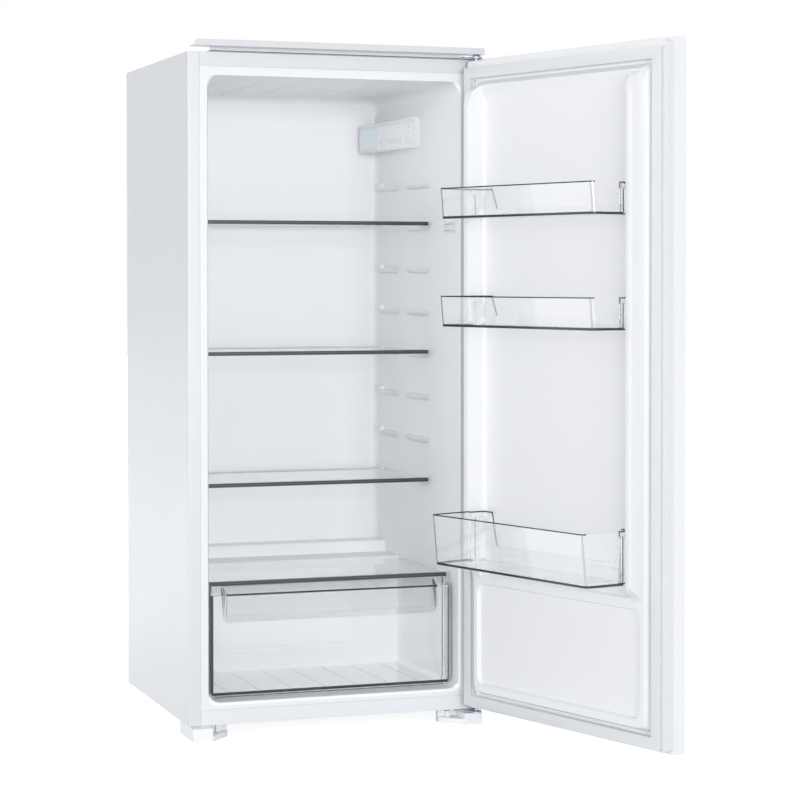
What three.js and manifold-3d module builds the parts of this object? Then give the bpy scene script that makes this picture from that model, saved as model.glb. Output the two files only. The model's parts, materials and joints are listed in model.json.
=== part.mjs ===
// Built-in larder refrigerator: cabinet, cooling circuit, hinged door, glass shelves, crisper and bins.
// Millimetres, +Z up. -Y is the front and the door is hinged on the right (+X).
// The origin is the middle of the cabinet's lower front edge; the feet reach below it.
// The door stands open, as it does while the compartment is being loaded.

import * as THREE from 'three';
import { mergeVertices } from 'three/addons/utils/BufferGeometryUtils.js';
import Module from 'manifold-3d';

const wasm = await Module();
wasm.setup();

// Fits and modelling values
const touchGap = 0.3;
const overrun = 2;
const weldTolerance = 0.0001;
const cornerSteps = 2;
const bendSteps = 4;
const curveSteps = 5;
const profileSteps = 8;
const ledgeSteps = 3;
const discSteps = 8;
const buttonSteps = 6;
const canSides = 28;

// Sheet steel cabinet
const cabinet = {
  width: 540,
  depth: 486,
  height: 1176,
  sheet: 0.8,
  sideFlange: 21.5,
  topRail: 24.5,
  bottomRail: 26,
  rearHem: 10,
  rearRecess: 14,
};
const halfWidth = cabinet.width / 2;
const backFace = cabinet.depth - cabinet.rearRecess;
const panelInside = halfWidth - cabinet.sheet - touchGap;

// Insulated walls, each with its sheet and liner
const insulation = {
  side: 34.5,
  top: 40,
  bottom: 33.5,
  rear: 31,
  step: 32,
};

// Compressor and the tray on top of it, in the chamber at the lower rear
const chamberForm = {
  depth: 141,
  aboveTray: 18,
};
const chamberFront = cabinet.depth - chamberForm.depth;
const compressorForm = {
  fromSide: 200,
  behindFront: 69,
};
const compressor = {
  centreX: halfWidth - compressorForm.fromSide,
  centreY: chamberFront + compressorForm.behindFront,
  halfLength: 92,
  halfWidth: 60,
  bottom: 26,
  height: 148,
  seamProud: 3,
  seamHeight: 4,
  railHeight: 5,
  railWidth: 26,
  railSpread: 62,
  railReach: 62,
};
const canSeamShare = 0.45;
const canDomeShares = [[0.35, 0], [0.8, 0.06], [0.97, 0.22]];
const pipeHeightShare = 0.6;
const tray = {
  length: 170,
  width: 104,
  height: 22,
  wall: 2,
  radius: 14,
};
const chamber = {
  front: chamberFront,
  ceiling: compressor.bottom + compressor.height + tray.height + chamberForm.aboveTray,
};

// Moulded inner liner, measured on its inner face
const linerForm = {
  frontDraft: 2.5,
  rearDraft: 11,
  floorRise: 4.5,
  grooveSideMargin: 47,
  grooveRearMargin: 21,
};
const liner = {
  wall: 2,
  openingHalfWidth: halfWidth - insulation.side,
  openingBottom: insulation.bottom,
  openingTop: cabinet.height - insulation.top,
  openingRadius: 16,
  lipDepth: 4,
  lipHeight: 1.8,
  frontHalfWidth: halfWidth - insulation.side - linerForm.frontDraft,
  rearHalfWidth: halfWidth - insulation.side - linerForm.frontDraft - linerForm.rearDraft,
  rearFace: backFace - insulation.rear,
  rearCove: 14,
  cornerRadius: 20,
  floor: insulation.bottom + linerForm.floorRise,
  ceilingFall: 1,
  grooveWidth: 2.4,
  grooveDepth: 1,
  grooveFront: 60,
};
const ceilingGrooveCount = 6;
const groovePitch = 2 * (liner.rearHalfWidth - linerForm.grooveSideMargin) / (ceilingGrooveCount - 1);
const linerRearOuter = liner.rearFace + liner.wall;

// Step in the liner over the compressor chamber
const humpForm = {
  riserSetback: 53,
  riserHeight: 22,
};
const hump = {
  crisperRear: chamber.front - insulation.step,
  ledgeLevel: chamber.ceiling + insulation.step,
  riserFront: liner.rearFace - humpForm.riserSetback,
  riserLean: 3,
  topLevel: chamber.ceiling + insulation.step + humpForm.riserHeight,
  radius: 8,
};

// Shelf levels and the ledges moulded in the side walls
const ledgeForm = {
  firstRoom: 142.3,
  lastRoom: 170.1,
  reach: 8.5,
  rearMargin: 17,
  barGap: 44,
  fade: 20,
};
const ledge = {
  firstLevel: hump.topLevel + ledgeForm.firstRoom,
  lastLevel: liner.openingTop - ledgeForm.lastRoom,
  depth: 17,
  nose: 3,
  innerHalfWidth: liner.rearHalfWidth - ledgeForm.reach,
  frontStart: 147,
  rearEnd: liner.rearFace - ledgeForm.rearMargin,
  stopRise: 1,
};
const ledgeLength = (ledge.rearEnd - ledge.frontStart - ledgeForm.barGap) / 2;
const shelfLevelCount = 8;
const fittedLevels = [6, 3, 0];

// Glass shelves with their edge trims
const shelfForm = {
  sideGap: 1.5,
  frontOverhang: 14.5,
  rearGap: 30,
};
const shelf = {
  halfWidth: liner.rearHalfWidth - shelfForm.sideGap,
  front: ledge.frontStart - shelfForm.frontOverhang,
  rear: ledge.rearEnd - shelfForm.rearGap,
  glass: 4,
  trimWall: 1.1,
  trimDepth: 10.5,
  trimSlot: 8.5,
  rearTrimDepth: 9,
  rearTrimSlot: 7,
};
const shelfSeatDrop = shelf.trimWall + touchGap + shelf.glass + touchGap;
const trimHeight = shelfSeatDrop + shelf.trimWall;

// Glass cover over the crisper and the ledges it lies on
const coverForm = {
  belowStep: 1,
  sideGap: 0.5,
  rearGap: 13,
  ledgeReach: 6,
  rearLedgeSetback: 64,
  ledgeFade: 12,
};
const cover = {
  top: hump.ledgeLevel - coverForm.belowStep,
  halfWidth: liner.rearHalfWidth - coverForm.sideGap,
  front: 38,
  rear: hump.crisperRear - coverForm.rearGap,
  ledgeThickness: 3,
  ledgeInner: liner.rearHalfWidth - coverForm.sideGap - coverForm.ledgeReach,
  frontLedgeStart: 64,
  rearLedgeStart: hump.crisperRear - coverForm.rearGap - coverForm.rearLedgeSetback,
  ledgeLength: 48,
};
const coverSeat = cover.top - shelfSeatDrop;

// Crisper drawer
const drawerForm = {
  faceOverRearWall: 1.5,
  bodyGap: 3,
  aheadOfCover: 10,
  shoulderDepth: 24,
  floorGap: 3,
  topGap: 0.6,
  ledgeGap: 3.3,
  lipMargin: 26.5,
  lipProud: 10,
  lipDrop: 12.1,
  lipHeight: 38,
  ribMargin: 39,
};
const drawerFront = cover.front - drawerForm.aheadOfCover;
const drawerTop = cover.top - trimHeight - drawerForm.topGap;
const drawer = {
  halfWidth: liner.rearHalfWidth + drawerForm.faceOverRearWall,
  bodyHalfWidth: liner.rearHalfWidth - drawerForm.bodyGap,
  front: drawerFront,
  rear: cover.rear,
  shoulder: drawerFront + drawerForm.shoulderDepth,
  floor: liner.floor + drawerForm.floorGap,
  top: drawerTop,
  bodyTop: coverSeat - cover.ledgeThickness - drawerForm.ledgeGap,
  wall: 2.4,
  cornerRadius: 14,
  toeRadius: 8,
  chamferDepth: 21,
  chamferHeight: 15,
  lipHalfWidth: liner.rearHalfWidth + drawerForm.faceOverRearWall - drawerForm.lipMargin,
  lipFront: drawerFront - drawerForm.lipProud,
  lipTop: drawerTop - drawerForm.lipDrop,
  lipBottom: drawerTop - drawerForm.lipDrop - drawerForm.lipHeight,
  lipWall: 2.4,
  scoopHeight: 48,
  ribWidth: 2,
  ribHeight: 1,
};
const drawerRibCount = 7;
const drawerRibPitch = 2 * (drawer.bodyHalfWidth - drawerForm.ribMargin) / (drawerRibCount - 1);

// Control box on the right wall and the raised ground it stands on
const controlForm = {
  frontThickness: 19,
  rearThickness: 40,
  reachFromRear: 241,
  rearMargin: 11,
  belowCeiling: 50,
  height: 59,
};
const control = {
  frontX: liner.frontHalfWidth - controlForm.frontThickness,
  frontY: liner.rearFace - controlForm.reachFromRear,
  rearX: liner.rearHalfWidth - controlForm.rearThickness,
  rearY: liner.rearFace - controlForm.rearMargin,
  nose: 13,
  noseFall: 5,
  bottom: liner.openingTop - controlForm.belowCeiling - controlForm.height,
  top: liner.openingTop - controlForm.belowCeiling,
  rearDrop: 8,
  radius: 7,
  lensLength: 72,
  lensMargin: 4,
  lensDepth: 3,
  lampPocket: 12,
  boardThickness: 1.6,
  boardMargin: 3,
  diodeHeight: 2.5,
  diodeRadius: 4,
  fasciaLength: 148,
  fasciaMargin: 2,
  fasciaRadius: 3,
  fasciaThickness: 1.2,
  buttonRadius: 4.5,
  buttonHeight: 2.6,
  buttonProud: 0.9,
  buttonClearance: 0.4,
  buttonPocket: 3.4,
  modeButtonPlace: 20,
  setButtonPlace: 125,
  buttonHeightAboveBottom: 14,
};
const fairingForm = {
  ahead: 42,
  rearMargin: 3,
  below: 14,
  above: 23,
};
const fairing = {
  start: control.frontY - fairingForm.ahead,
  ramp: 30,
  end: liner.rearFace - fairingForm.rearMargin,
  bottom: control.bottom - fairingForm.below,
  top: control.top + fairingForm.above,
  slope: 12,
  proud: 5,
};

// Light switch in the right wall near the front
const switchForm = {
  belowCeiling: 270,
  proud: 2.4,
  length: 60,
  pocketMargin: 13,
};
const lightSwitch = {
  front: 16,
  bottom: liner.openingTop - switchForm.belowCeiling,
  height: 17,
  face: liner.frontHalfWidth - switchForm.proud,
  depth: 14,
  frame: 3,
  pocketDepth: 11,
  rockerClearance: 0.6,
  rockerThickness: 7,
  rockerProud: 4.6,
  pivotInset: 3,
};
const switchRear = lightSwitch.front + switchForm.length;

// Door, described closed
const doorForm = {
  topGap: 0.4,
  pivotInset: 13.5,
  rimBottomInset: 5.6,
  rimTopInset: 5.1,
  rimRadius: 6,
};
const doorTop = cabinet.height - doorForm.topGap;
const door = {
  openDegrees: 106.4,
  pivotX: halfWidth - doorForm.pivotInset,
  pivotY: -23.6,
  frontFace: -54,
  seam: -29,
  bottom: 2.4,
  top: doorTop,
  hem: 8,
  rimFace: -12.7,
  rimTop: doorTop - doorForm.rimTopInset,
  rimInset: 1.5,
  linerWall: 1.5,
};
const rimBottom = door.bottom + doorForm.rimBottomInset;

// Magnetic gasket, described closed
const gasketForm = {
  besideOpening: 10.5,
  belowOpening: 1.5,
  aboveOpening: 3,
};
const gasket = {
  innerHalfWidth: liner.openingHalfWidth + gasketForm.besideOpening,
  innerBottom: liner.openingBottom - gasketForm.belowOpening,
  innerTop: liner.openingTop + gasketForm.aboveOpening,
  width: 20,
  base: 4,
  waist: 3,
  waistStep: 1.2,
  lean: 2.4,
};

// Moulded field of the door liner, described closed
const fieldForm = {
  footSideGap: 2,
  footEndGap: 5,
  edgeSideGap: 4.5,
  edgeBottomRise: 6,
  edgeTopFall: 9,
  recessTopMargin: 1.5,
  recessBottomMargin: 10,
  ribHeight: 16,
  lowerSideMargin: 10,
  lowerBottomMargin: 13,
};
const dykeForm = {
  edgeMargin: 3,
  width: 16,
  topMargin: 4,
  topCurve: 53,
  footRise: 241.6,
  footCurve: 38,
  footTurn: 17,
  innerLean: 7,
};
const fieldFootBottom = gasket.innerBottom + fieldForm.footEndGap;
const fieldFootTop = gasket.innerTop - fieldForm.footEndGap;
const fieldEdgeHalfWidth = liner.openingHalfWidth - fieldForm.edgeSideGap;
const fieldEdgeTop = fieldFootTop - fieldForm.edgeTopFall;
const dykeOuter = fieldEdgeHalfWidth - dykeForm.edgeMargin;
const dykeFoot = door.bottom + dykeForm.footRise;
const dyke = {
  outer: dykeOuter,
  inner: dykeOuter - dykeForm.width,
  face: 28,
  radius: 4,
  topStart: fieldEdgeTop - dykeForm.topMargin - dykeForm.topCurve,
  topEnd: fieldEdgeTop - dykeForm.topMargin,
  bottomStart: dykeFoot + dykeForm.footCurve,
  bottomEnd: dykeFoot,
};
const field = {
  footHalfWidth: gasket.innerHalfWidth - fieldForm.footSideGap,
  edgeHalfWidth: fieldEdgeHalfWidth,
  footBottom: fieldFootBottom,
  edgeBottom: fieldFootBottom + fieldForm.edgeBottomRise,
  footTop: fieldFootTop,
  edgeTop: fieldEdgeTop,
  edgeFace: 2,
  cornerRadius: 18,
  panelFace: -4,
  recessHalfWidth: dyke.inner - dykeForm.innerLean,
  recessTop: fieldEdgeTop - fieldForm.recessTopMargin,
  recessTopSlope: 12,
  recessBottom: dykeFoot + fieldForm.recessBottomMargin,
  recessSlope: 3,
  lowerHalfWidth: fieldEdgeHalfWidth - fieldForm.lowerSideMargin,
  lowerTop: dykeFoot + fieldForm.recessBottomMargin - fieldForm.ribHeight,
  lowerBottom: fieldFootBottom + fieldForm.edgeBottomRise + fieldForm.lowerBottomMargin,
};

// Door bins, described closed
const binForm = {
  rearSideGap: 2.5,
  dykeGap: 0.6,
  sideGap: 1,
  frontTaper: 3,
  lowCutMargin: 26.5,
  lowCutLean: 16,
  ribMargin: 48,
};
const binShoulderHalfWidth = dyke.inner - binForm.sideGap;
const binRearHalfWidth = field.recessHalfWidth - binForm.rearSideGap;
const bin = {
  wall: 2.2,
  rear: 1,
  rearHalfWidth: binRearHalfWidth,
  shoulder: dyke.face + binForm.dykeGap,
  shoulderHalfWidth: binShoulderHalfWidth,
  frontHalfWidth: binShoulderHalfWidth - binForm.frontTaper,
  frontRadius: 8,
  lowCutTop: binRearHalfWidth - binForm.lowCutMargin,
  lowCutBottom: binRearHalfWidth - binForm.lowCutMargin - binForm.lowCutLean,
  ribWidth: 2,
  ribHeight: 1,
  ribFront: 16,
  ribRear: 12,
};
const binRibCount = 17;
const binRibPitch = 2 * (bin.frontHalfWidth - binForm.ribMargin) / (binRibCount - 1);
const shallowBin = {
  height: 54,
  topFront: 96,
  bottomFront: 91,
  backHeight: 18,
};
const bottleBin = {
  height: 89,
  topFront: 113,
  bottomFront: 104,
  backHeight: 30,
};
const binPlaces = {
  upperBelowTop: 289.6,
  middleBelowTop: 478.6,
  lowerAboveDykeEnd: 35,
};
const binRows = [
  { name: 'door_bin_upper', bottom: door.top - binPlaces.upperBelowTop, ...shallowBin },
  { name: 'door_bin_middle', bottom: door.top - binPlaces.middleBelowTop, ...shallowBin },
  { name: 'door_bin_lower', bottom: dyke.bottomEnd + binPlaces.lowerAboveDykeEnd, ...bottleBin },
];
const lugReach = 14.5;
const lug = {
  inner: dyke.inner - lugReach,
  front: 22,
  rear: 6,
  height: 24,
  topBelowRim: 12,
  clearance: 0.6,
};

// Hinges
const hingeForm = {
  innerReach: 28.5,
  outerReach: 11.5,
};
const hinge = {
  plate: 3,
  inner: door.pivotX - hingeForm.innerReach,
  outer: door.pivotX + hingeForm.outerReach,
  rear: 60,
  armRadius: 11,
  pinRadius: 3,
  pinEngagement: 14,
  boreRadius: 3.3,
  bushRadius: 4.3,
  bushFlangeReach: 7.5,
  bushFlange: 1.5,
  bushDepth: 16,
};

// Cover strip along the top front edge
const stripForm = {
  rise: 7,
  height: 11,
  webLeftInset: 37,
  webRightInset: 42.6,
};
const strip = {
  front: -40,
  wall: 3,
  plate: 1.5,
  underside: cabinet.height + stripForm.rise,
  top: cabinet.height + stripForm.rise + stripForm.height,
  endInset: 3.5,
  plateInset: 2,
  endRadius: 4.5,
  webFront: -10,
  webLeft: -halfWidth + stripForm.webLeftInset,
  webRight: halfWidth - stripForm.webRightInset,
  footDepth: 30,
};

// Feet
const footForm = {
  sideInset: 1.5,
  stepWidth: 35.5,
  slantWidth: 36,
  postInset: 12.5,
};
const foot = {
  height: 24,
  outer: halfWidth - footForm.sideInset,
  step: halfWidth - footForm.sideInset - footForm.stepWidth,
  inner: halfWidth - footForm.sideInset - footForm.stepWidth - footForm.slantWidth,
  front: -26,
  slantEnd: 14,
  rear: 72,
  shelf: 10,
  postWidth: 9,
  postDepth: 8,
  wallFront: 18,
  wallDepth: 9,
  rearFootHalfWidth: 22,
  rearFootInset: 62,
  rearFootDepth: 36,
  rearFootSetback: 14,
};
const footPostInner = foot.inner + footForm.postInset;

// Mounting of the compressor, its relay and the drain above it
const basePlate = {
  thickness: 1.2,
  flange: 12,
  margin: 1,
  rearInset: 2,
  grommetRadius: 9,
  grommetHeight: 14,
};
const relay = {
  width: 26,
  depth: 62,
  height: 66,
  bottom: 62,
  wall: 2,
  radius: 6,
  inletRadius: 6,
  inletLength: 9,
};
const drain = {
  ahead: 14,
  radius: 7,
  bore: 4.5,
  flangeRadius: 14,
  flange: 2,
  length: 12,
};

// Wire and tube condenser on the back
const condenserForm = {
  sideMargin: 58,
  aboveChamber: 48,
  topMargin: 130,
  wireMargin: 44,
};
const condenser = {
  halfWidth: halfWidth - condenserForm.sideMargin,
  bottom: chamber.ceiling + condenserForm.aboveChamber,
  tubeRadius: 2.4,
  backGap: 4,
  wireWidth: 1.6,
  wireOverhang: 14,
  bracketWidth: 14,
  bracketLength: 22,
  bracketThickness: 1.6,
};
const condenserPasses = 15;
const condenserTop = cabinet.height - condenserForm.topMargin;
const passPitch = (condenserTop - condenser.bottom) / (condenserPasses - 1);
const condenserWires = 6;
const wirePitch = 2 * (condenser.halfWidth - condenserForm.wireMargin) / (condenserWires - 1);
const pipe = {
  radius: 3,
  bend: 16,
  rise: 26,
  drierRadius: 6,
  drierLength: 84,
  neckRadius: 2.4,
  neckLength: 10,
};

// Evaporator plate foamed in behind the rear wall
const evaporatorForm = {
  sideMargin: 42,
  aboveStep: 152,
  belowCeiling: 176,
};
const evaporator = {
  halfWidth: liner.rearHalfWidth - evaporatorForm.sideMargin,
  bottom: hump.topLevel + evaporatorForm.aboveStep,
  top: liner.openingTop - evaporatorForm.belowCeiling,
  thickness: 1.5,
  radius: 12,
};

// Finishes, one for each kind of surface
const finishes = {
  paintedSteel: { color: 0xeceef0, roughness: 0.42, metalness: 0 },
  galvanisedSteel: { color: 0xb4b8bb, roughness: 0.45, metalness: 0.9 },
  zincedHinge: { color: 0x8d98a3, roughness: 0.35, metalness: 0.9 },
  linerPlastic: { color: 0xe9ecee, roughness: 0.3, metalness: 0 },
  foam: { color: 0xe8d9a8, roughness: 0.9, metalness: 0 },
  gasket: { color: 0xe3e6e8, roughness: 0.6, metalness: 0 },
  whitePlastic: { color: 0xeceded, roughness: 0.4, metalness: 0 },
  greyPlastic: { color: 0xc9cdd1, roughness: 0.4, metalness: 0 },
  lens: { color: 0xc3cdd6, roughness: 0.25, metalness: 0 },
  glass: { color: 0xdfe8e8, roughness: 0.05, metalness: 0 },
  shelfTrim: { color: 0x5b5a56, roughness: 0.35, metalness: 0 },
  clearPlastic: { color: 0xd5d9db, roughness: 0.1, metalness: 0 },
  blackSteel: { color: 0x1c1d1f, roughness: 0.45, metalness: 0.4 },
  copper: { color: 0xb87650, roughness: 0.35, metalness: 0.9 },
  aluminium: { color: 0xc8cacc, roughness: 0.4, metalness: 0.9 },
  darkPlastic: { color: 0x2b2d30, roughness: 0.5, metalness: 0 },
  board: { color: 0xe9ece4, roughness: 0.5, metalness: 0 },
};

const refrigerator = new THREE.Group();

function addMesh(parent, name, geometry, finish) {
  const mesh = new THREE.Mesh(geometry, new THREE.MeshStandardMaterial(finishes[finish]));
  mesh.name = name;
  parent.add(mesh);
  return mesh;
}

// Solids for cutting and joining

function toSolid(geometry) {
  const bare = geometry.clone();
  bare.deleteAttribute('normal');
  bare.deleteAttribute('uv');
  const welded = mergeVertices(bare, weldTolerance);
  return new wasm.Manifold(new wasm.Mesh({
    numProp: 3,
    vertProperties: new Float32Array(welded.attributes.position.array),
    triVerts: new Uint32Array(welded.index.array),
  }));
}

function toGeometry(solid) {
  const mesh = solid.getMesh();
  const geometry = new THREE.BufferGeometry();
  geometry.setAttribute('position', new THREE.BufferAttribute(mesh.vertProperties, 3));
  geometry.setIndex(new THREE.BufferAttribute(mesh.triVerts, 1));
  geometry.computeVertexNormals();
  return geometry;
}

function join(geometries) {
  return geometries.map(toSolid).reduce((whole, solid) => whole.add(solid));
}

function cut(solid, geometries) {
  return geometries.map(toSolid).reduce((left, tool) => left.subtract(tool), solid);
}

// Outlines

function outline(points) {
  return new THREE.Shape(points.map(([a, b]) => new THREE.Vector2(a, b)));
}

function rectangle(left, right, bottom, top) {
  return outline([[left, bottom], [right, bottom], [right, top], [left, top]]);
}

function roundedRectangle(left, right, bottom, top, radius) {
  const shape = new THREE.Shape();
  shape.absarc(right - radius, top - radius, radius, 0, Math.PI / 2, false);
  shape.absarc(left + radius, top - radius, radius, Math.PI / 2, Math.PI, false);
  shape.absarc(left + radius, bottom + radius, radius, Math.PI, 1.5 * Math.PI, false);
  shape.absarc(right - radius, bottom + radius, radius, 1.5 * Math.PI, 2 * Math.PI, false);
  return shape;
}

function circle(x, y, radius) {
  const shape = new THREE.Shape();
  shape.absarc(x, y, radius, 0, 2 * Math.PI, false);
  return shape;
}

// Extrusions along the three axes

function extrude(shape, length, steps) {
  return new THREE.ExtrudeGeometry(shape, { depth: length, bevelEnabled: false, curveSegments: steps });
}

// An outline in X and Y, raised from low to high
function upright(shape, low, high, steps = cornerSteps) {
  return extrude(shape, high - low, steps).translate(0, 0, low);
}

// An outline in X and Z, run from near to far in Y
function inward(shape, near, far, steps = cornerSteps) {
  const axes = new THREE.Matrix4().makeBasis(
    new THREE.Vector3(1, 0, 0),
    new THREE.Vector3(0, 0, 1),
    new THREE.Vector3(0, -1, 0),
  );
  return extrude(shape, far - near, steps).applyMatrix4(axes).translate(0, far, 0);
}

// An outline in Y and Z, run from left to right in X
function across(shape, left, right, steps = cornerSteps) {
  const axes = new THREE.Matrix4().makeBasis(
    new THREE.Vector3(0, 1, 0),
    new THREE.Vector3(0, 0, 1),
    new THREE.Vector3(1, 0, 0),
  );
  return extrude(shape, right - left, steps).applyMatrix4(axes).translate(left, 0, 0);
}

function block(left, right, near, far, low, high) {
  return upright(rectangle(left, right, near, far), low, high);
}

function disc(x, y, radius, low, high) {
  return upright(circle(x, y, radius), low, high, discSteps);
}

// A skin over matching rings of points, closed at both ends
function loft(rings, flatten) {
  const turned = THREE.ShapeUtils.area(rings[0].map(flatten)) < 0;
  const ordered = turned ? rings.map((ring) => [...ring].reverse()) : rings;
  const count = ordered[0].length;
  const last = (ordered.length - 1) * count;
  const index = [];
  for (let row = 0; row < last; row += count) {
    for (let i = 0; i < count; i += 1) {
      const a = row + i;
      const b = row + ((i + 1) % count);
      index.push(a, b, b + count, a, b + count, a + count);
    }
  }
  for (const [a, b, c] of THREE.ShapeUtils.triangulateShape(ordered[0].map(flatten), [])) {
    index.push(c, b, a, last + a, last + b, last + c);
  }
  const geometry = new THREE.BufferGeometry();
  const positions = ordered.flat().flatMap((p) => [p.x, p.y, p.z]);
  geometry.setAttribute('position', new THREE.Float32BufferAttribute(positions, 3));
  geometry.setIndex(index);
  return signedVolume(geometry) < 0 ? insideOut(geometry) : geometry;
}

function signedVolume(geometry) {
  const position = geometry.attributes.position;
  const index = geometry.index.array;
  const [a, b, c] = [new THREE.Vector3(), new THREE.Vector3(), new THREE.Vector3()];
  let volume = 0;
  for (let i = 0; i < index.length; i += 3) {
    a.fromBufferAttribute(position, index[i]);
    b.fromBufferAttribute(position, index[i + 1]);
    c.fromBufferAttribute(position, index[i + 2]);
    volume += a.dot(b.cross(c));
  }
  return volume;
}

function insideOut(geometry) {
  const index = [...geometry.index.array];
  for (let i = 0; i < index.length; i += 3) {
    [index[i], index[i + 1]] = [index[i + 1], index[i]];
  }
  return geometry.setIndex(index);
}

const flattenXZ = (p) => new THREE.Vector2(p.x, p.z);
const flattenXY = (p) => new THREE.Vector2(p.x, p.y);
const flattenYZ = (p) => new THREE.Vector2(p.y, p.z);

// Points round a rectangle with arced corners, standing in the XZ plane at y
function sectionRing(y, halfSpan, bottom, top, radius) {
  const points = roundedRectangle(-halfSpan, halfSpan, bottom, top, radius).getPoints(cornerSteps);
  points.pop();
  return points.map((p) => new THREE.Vector3(p.x, y, p.y));
}

// Sheet steel cabinet

function wallAt(y) {
  const share = (y - liner.lipDepth) / (liner.rearFace - liner.rearCove - liner.lipDepth);
  return liner.frontHalfWidth + (liner.rearHalfWidth - liner.frontHalfWidth) * share;
}

function sidePanel(side) {
  const points = [
    [halfWidth, 0],
    [halfWidth - cabinet.sideFlange, 0],
    [halfWidth - cabinet.sideFlange, cabinet.sheet],
    [halfWidth - cabinet.sheet, cabinet.sheet],
    [halfWidth - cabinet.sheet, cabinet.depth - cabinet.sheet],
    [halfWidth - cabinet.rearHem, cabinet.depth - cabinet.sheet],
    [halfWidth - cabinet.rearHem, cabinet.depth],
    [halfWidth, cabinet.depth],
  ];
  return upright(outline(points.map(([x, y]) => [side * x, y])), 0, cabinet.height);
}

// A front rail with the sheet that runs back from it, between the side panels
function railAndSheet(railLow, railHigh, sheetLow, rear) {
  const railHalf = halfWidth - cabinet.sideFlange - touchGap;
  const plan = [
    [-railHalf, 0],
    [railHalf, 0],
    [railHalf, cabinet.sheet + touchGap],
    [panelInside, cabinet.sheet + touchGap],
    [panelInside, rear],
    [-panelInside, rear],
    [-panelInside, cabinet.sheet + touchGap],
    [-railHalf, cabinet.sheet + touchGap],
  ];
  return join([
    upright(outline(plan), sheetLow, sheetLow + cabinet.sheet),
    block(-railHalf, railHalf, 0, cabinet.sheet, railLow, railHigh),
  ]);
}

function chamberPanel() {
  const inside = cabinet.sheet + touchGap;
  const profile = outline([
    [chamber.front - cabinet.sheet, inside],
    [chamber.front, inside],
    [chamber.front, chamber.ceiling],
    [backFace - inside, chamber.ceiling],
    [backFace - inside, chamber.ceiling + cabinet.sheet],
    [chamber.front - cabinet.sheet, chamber.ceiling + cabinet.sheet],
  ]);
  return across(profile, -panelInside, panelInside);
}

function addCabinetShell() {
  const topLow = cabinet.height - cabinet.sheet;
  const baseRear = chamber.front - cabinet.sheet - touchGap;
  addMesh(refrigerator, 'side_panel_left', sidePanel(-1), 'paintedSteel');
  addMesh(refrigerator, 'side_panel_right', sidePanel(1), 'paintedSteel');
  const topPanel = railAndSheet(cabinet.height - cabinet.topRail, cabinet.height, topLow, backFace);
  addMesh(refrigerator, 'top_panel', toGeometry(topPanel), 'paintedSteel');
  const basePanel = railAndSheet(0, cabinet.bottomRail, 0, baseRear);
  addMesh(refrigerator, 'base_panel', toGeometry(basePanel), 'paintedSteel');
  addMesh(refrigerator, 'chamber_panel', chamberPanel(), 'galvanisedSteel');
  const back = block(-panelInside, panelInside, backFace - cabinet.sheet, backFace,
    chamber.ceiling + cabinet.sheet + touchGap, topLow - touchGap);
  addMesh(refrigerator, 'back_panel', back, 'paintedSteel');
}

// Moulded liner

// The tub's space, grown by a wall for its outer face
function tub(grow, near) {
  const bottom = liner.floor - grow;
  const frontTop = liner.openingTop - liner.lipHeight + grow;
  const coveStart = liner.rearFace - liner.rearCove;
  const radius = liner.rearCove + grow;
  const rings = [
    sectionRing(near, liner.openingHalfWidth + grow, liner.openingBottom - grow,
      liner.openingTop + grow, liner.openingRadius + grow),
    sectionRing(0, liner.openingHalfWidth + grow, liner.openingBottom - grow,
      liner.openingTop + grow, liner.openingRadius + grow),
    sectionRing(liner.lipDepth, liner.frontHalfWidth + grow, bottom, frontTop,
      liner.cornerRadius + grow),
  ];
  for (let step = 0; step <= bendSteps; step += 1) {
    const angle = (step / bendSteps) * (Math.PI / 2);
    const shrink = radius * (1 - Math.cos(angle));
    rings.push(sectionRing(
      coveStart + radius * Math.sin(angle),
      liner.rearHalfWidth + grow - shrink,
      bottom + shrink,
      frontTop - liner.ceilingFall - shrink,
      liner.cornerRadius + grow,
    ));
  }
  return toSolid(loft(near < 0 ? rings : rings.slice(1), flattenXZ));
}

// The step over the compressor chamber, shrunk by a wall for the outer face
function humpBlock(shrink) {
  const front = hump.crisperRear + shrink;
  const ledgeTop = hump.ledgeLevel - shrink;
  const riser = hump.riserFront + shrink;
  const top = hump.topLevel - shrink;
  const shape = new THREE.Shape();
  shape.moveTo(front, -overrun);
  shape.lineTo(front, ledgeTop - hump.radius);
  shape.absarc(front + hump.radius, ledgeTop - hump.radius, hump.radius, Math.PI, Math.PI / 2, true);
  shape.lineTo(riser, ledgeTop);
  shape.lineTo(riser + hump.riserLean, top - hump.riserLean);
  shape.lineTo(riser + 2 * hump.riserLean, top);
  shape.lineTo(cabinet.depth, top);
  shape.lineTo(cabinet.depth, -overrun);
  return across(shape, -halfWidth, halfWidth);
}

// One ledge: a flat seat with a rounded underside, whose ends fade into the wall
function ledgeBar(side, seat, inner, nose, drop, near, far, fade) {
  const ring = (y, edge) => {
    const shape = new THREE.Shape();
    shape.moveTo(side * halfWidth, seat);
    shape.lineTo(side * edge, seat);
    shape.lineTo(side * edge, seat - nose);
    shape.quadraticCurveTo(side * edge, seat - drop, side * liner.openingHalfWidth, seat - drop);
    shape.lineTo(side * halfWidth, seat - drop);
    return shape.getPoints(ledgeSteps).map((p) => new THREE.Vector3(p.x, y, p.y));
  };
  return loft([
    ring(near, wallAt(near) + touchGap),
    ring(near + fade, inner),
    ring(far - fade, inner),
    ring(far, wallAt(far) + touchGap),
  ], flattenXZ);
}

function shelfLevel(step) {
  return ledge.firstLevel + ((ledge.lastLevel - ledge.firstLevel) * step) / (shelfLevelCount - 1);
}

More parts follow.
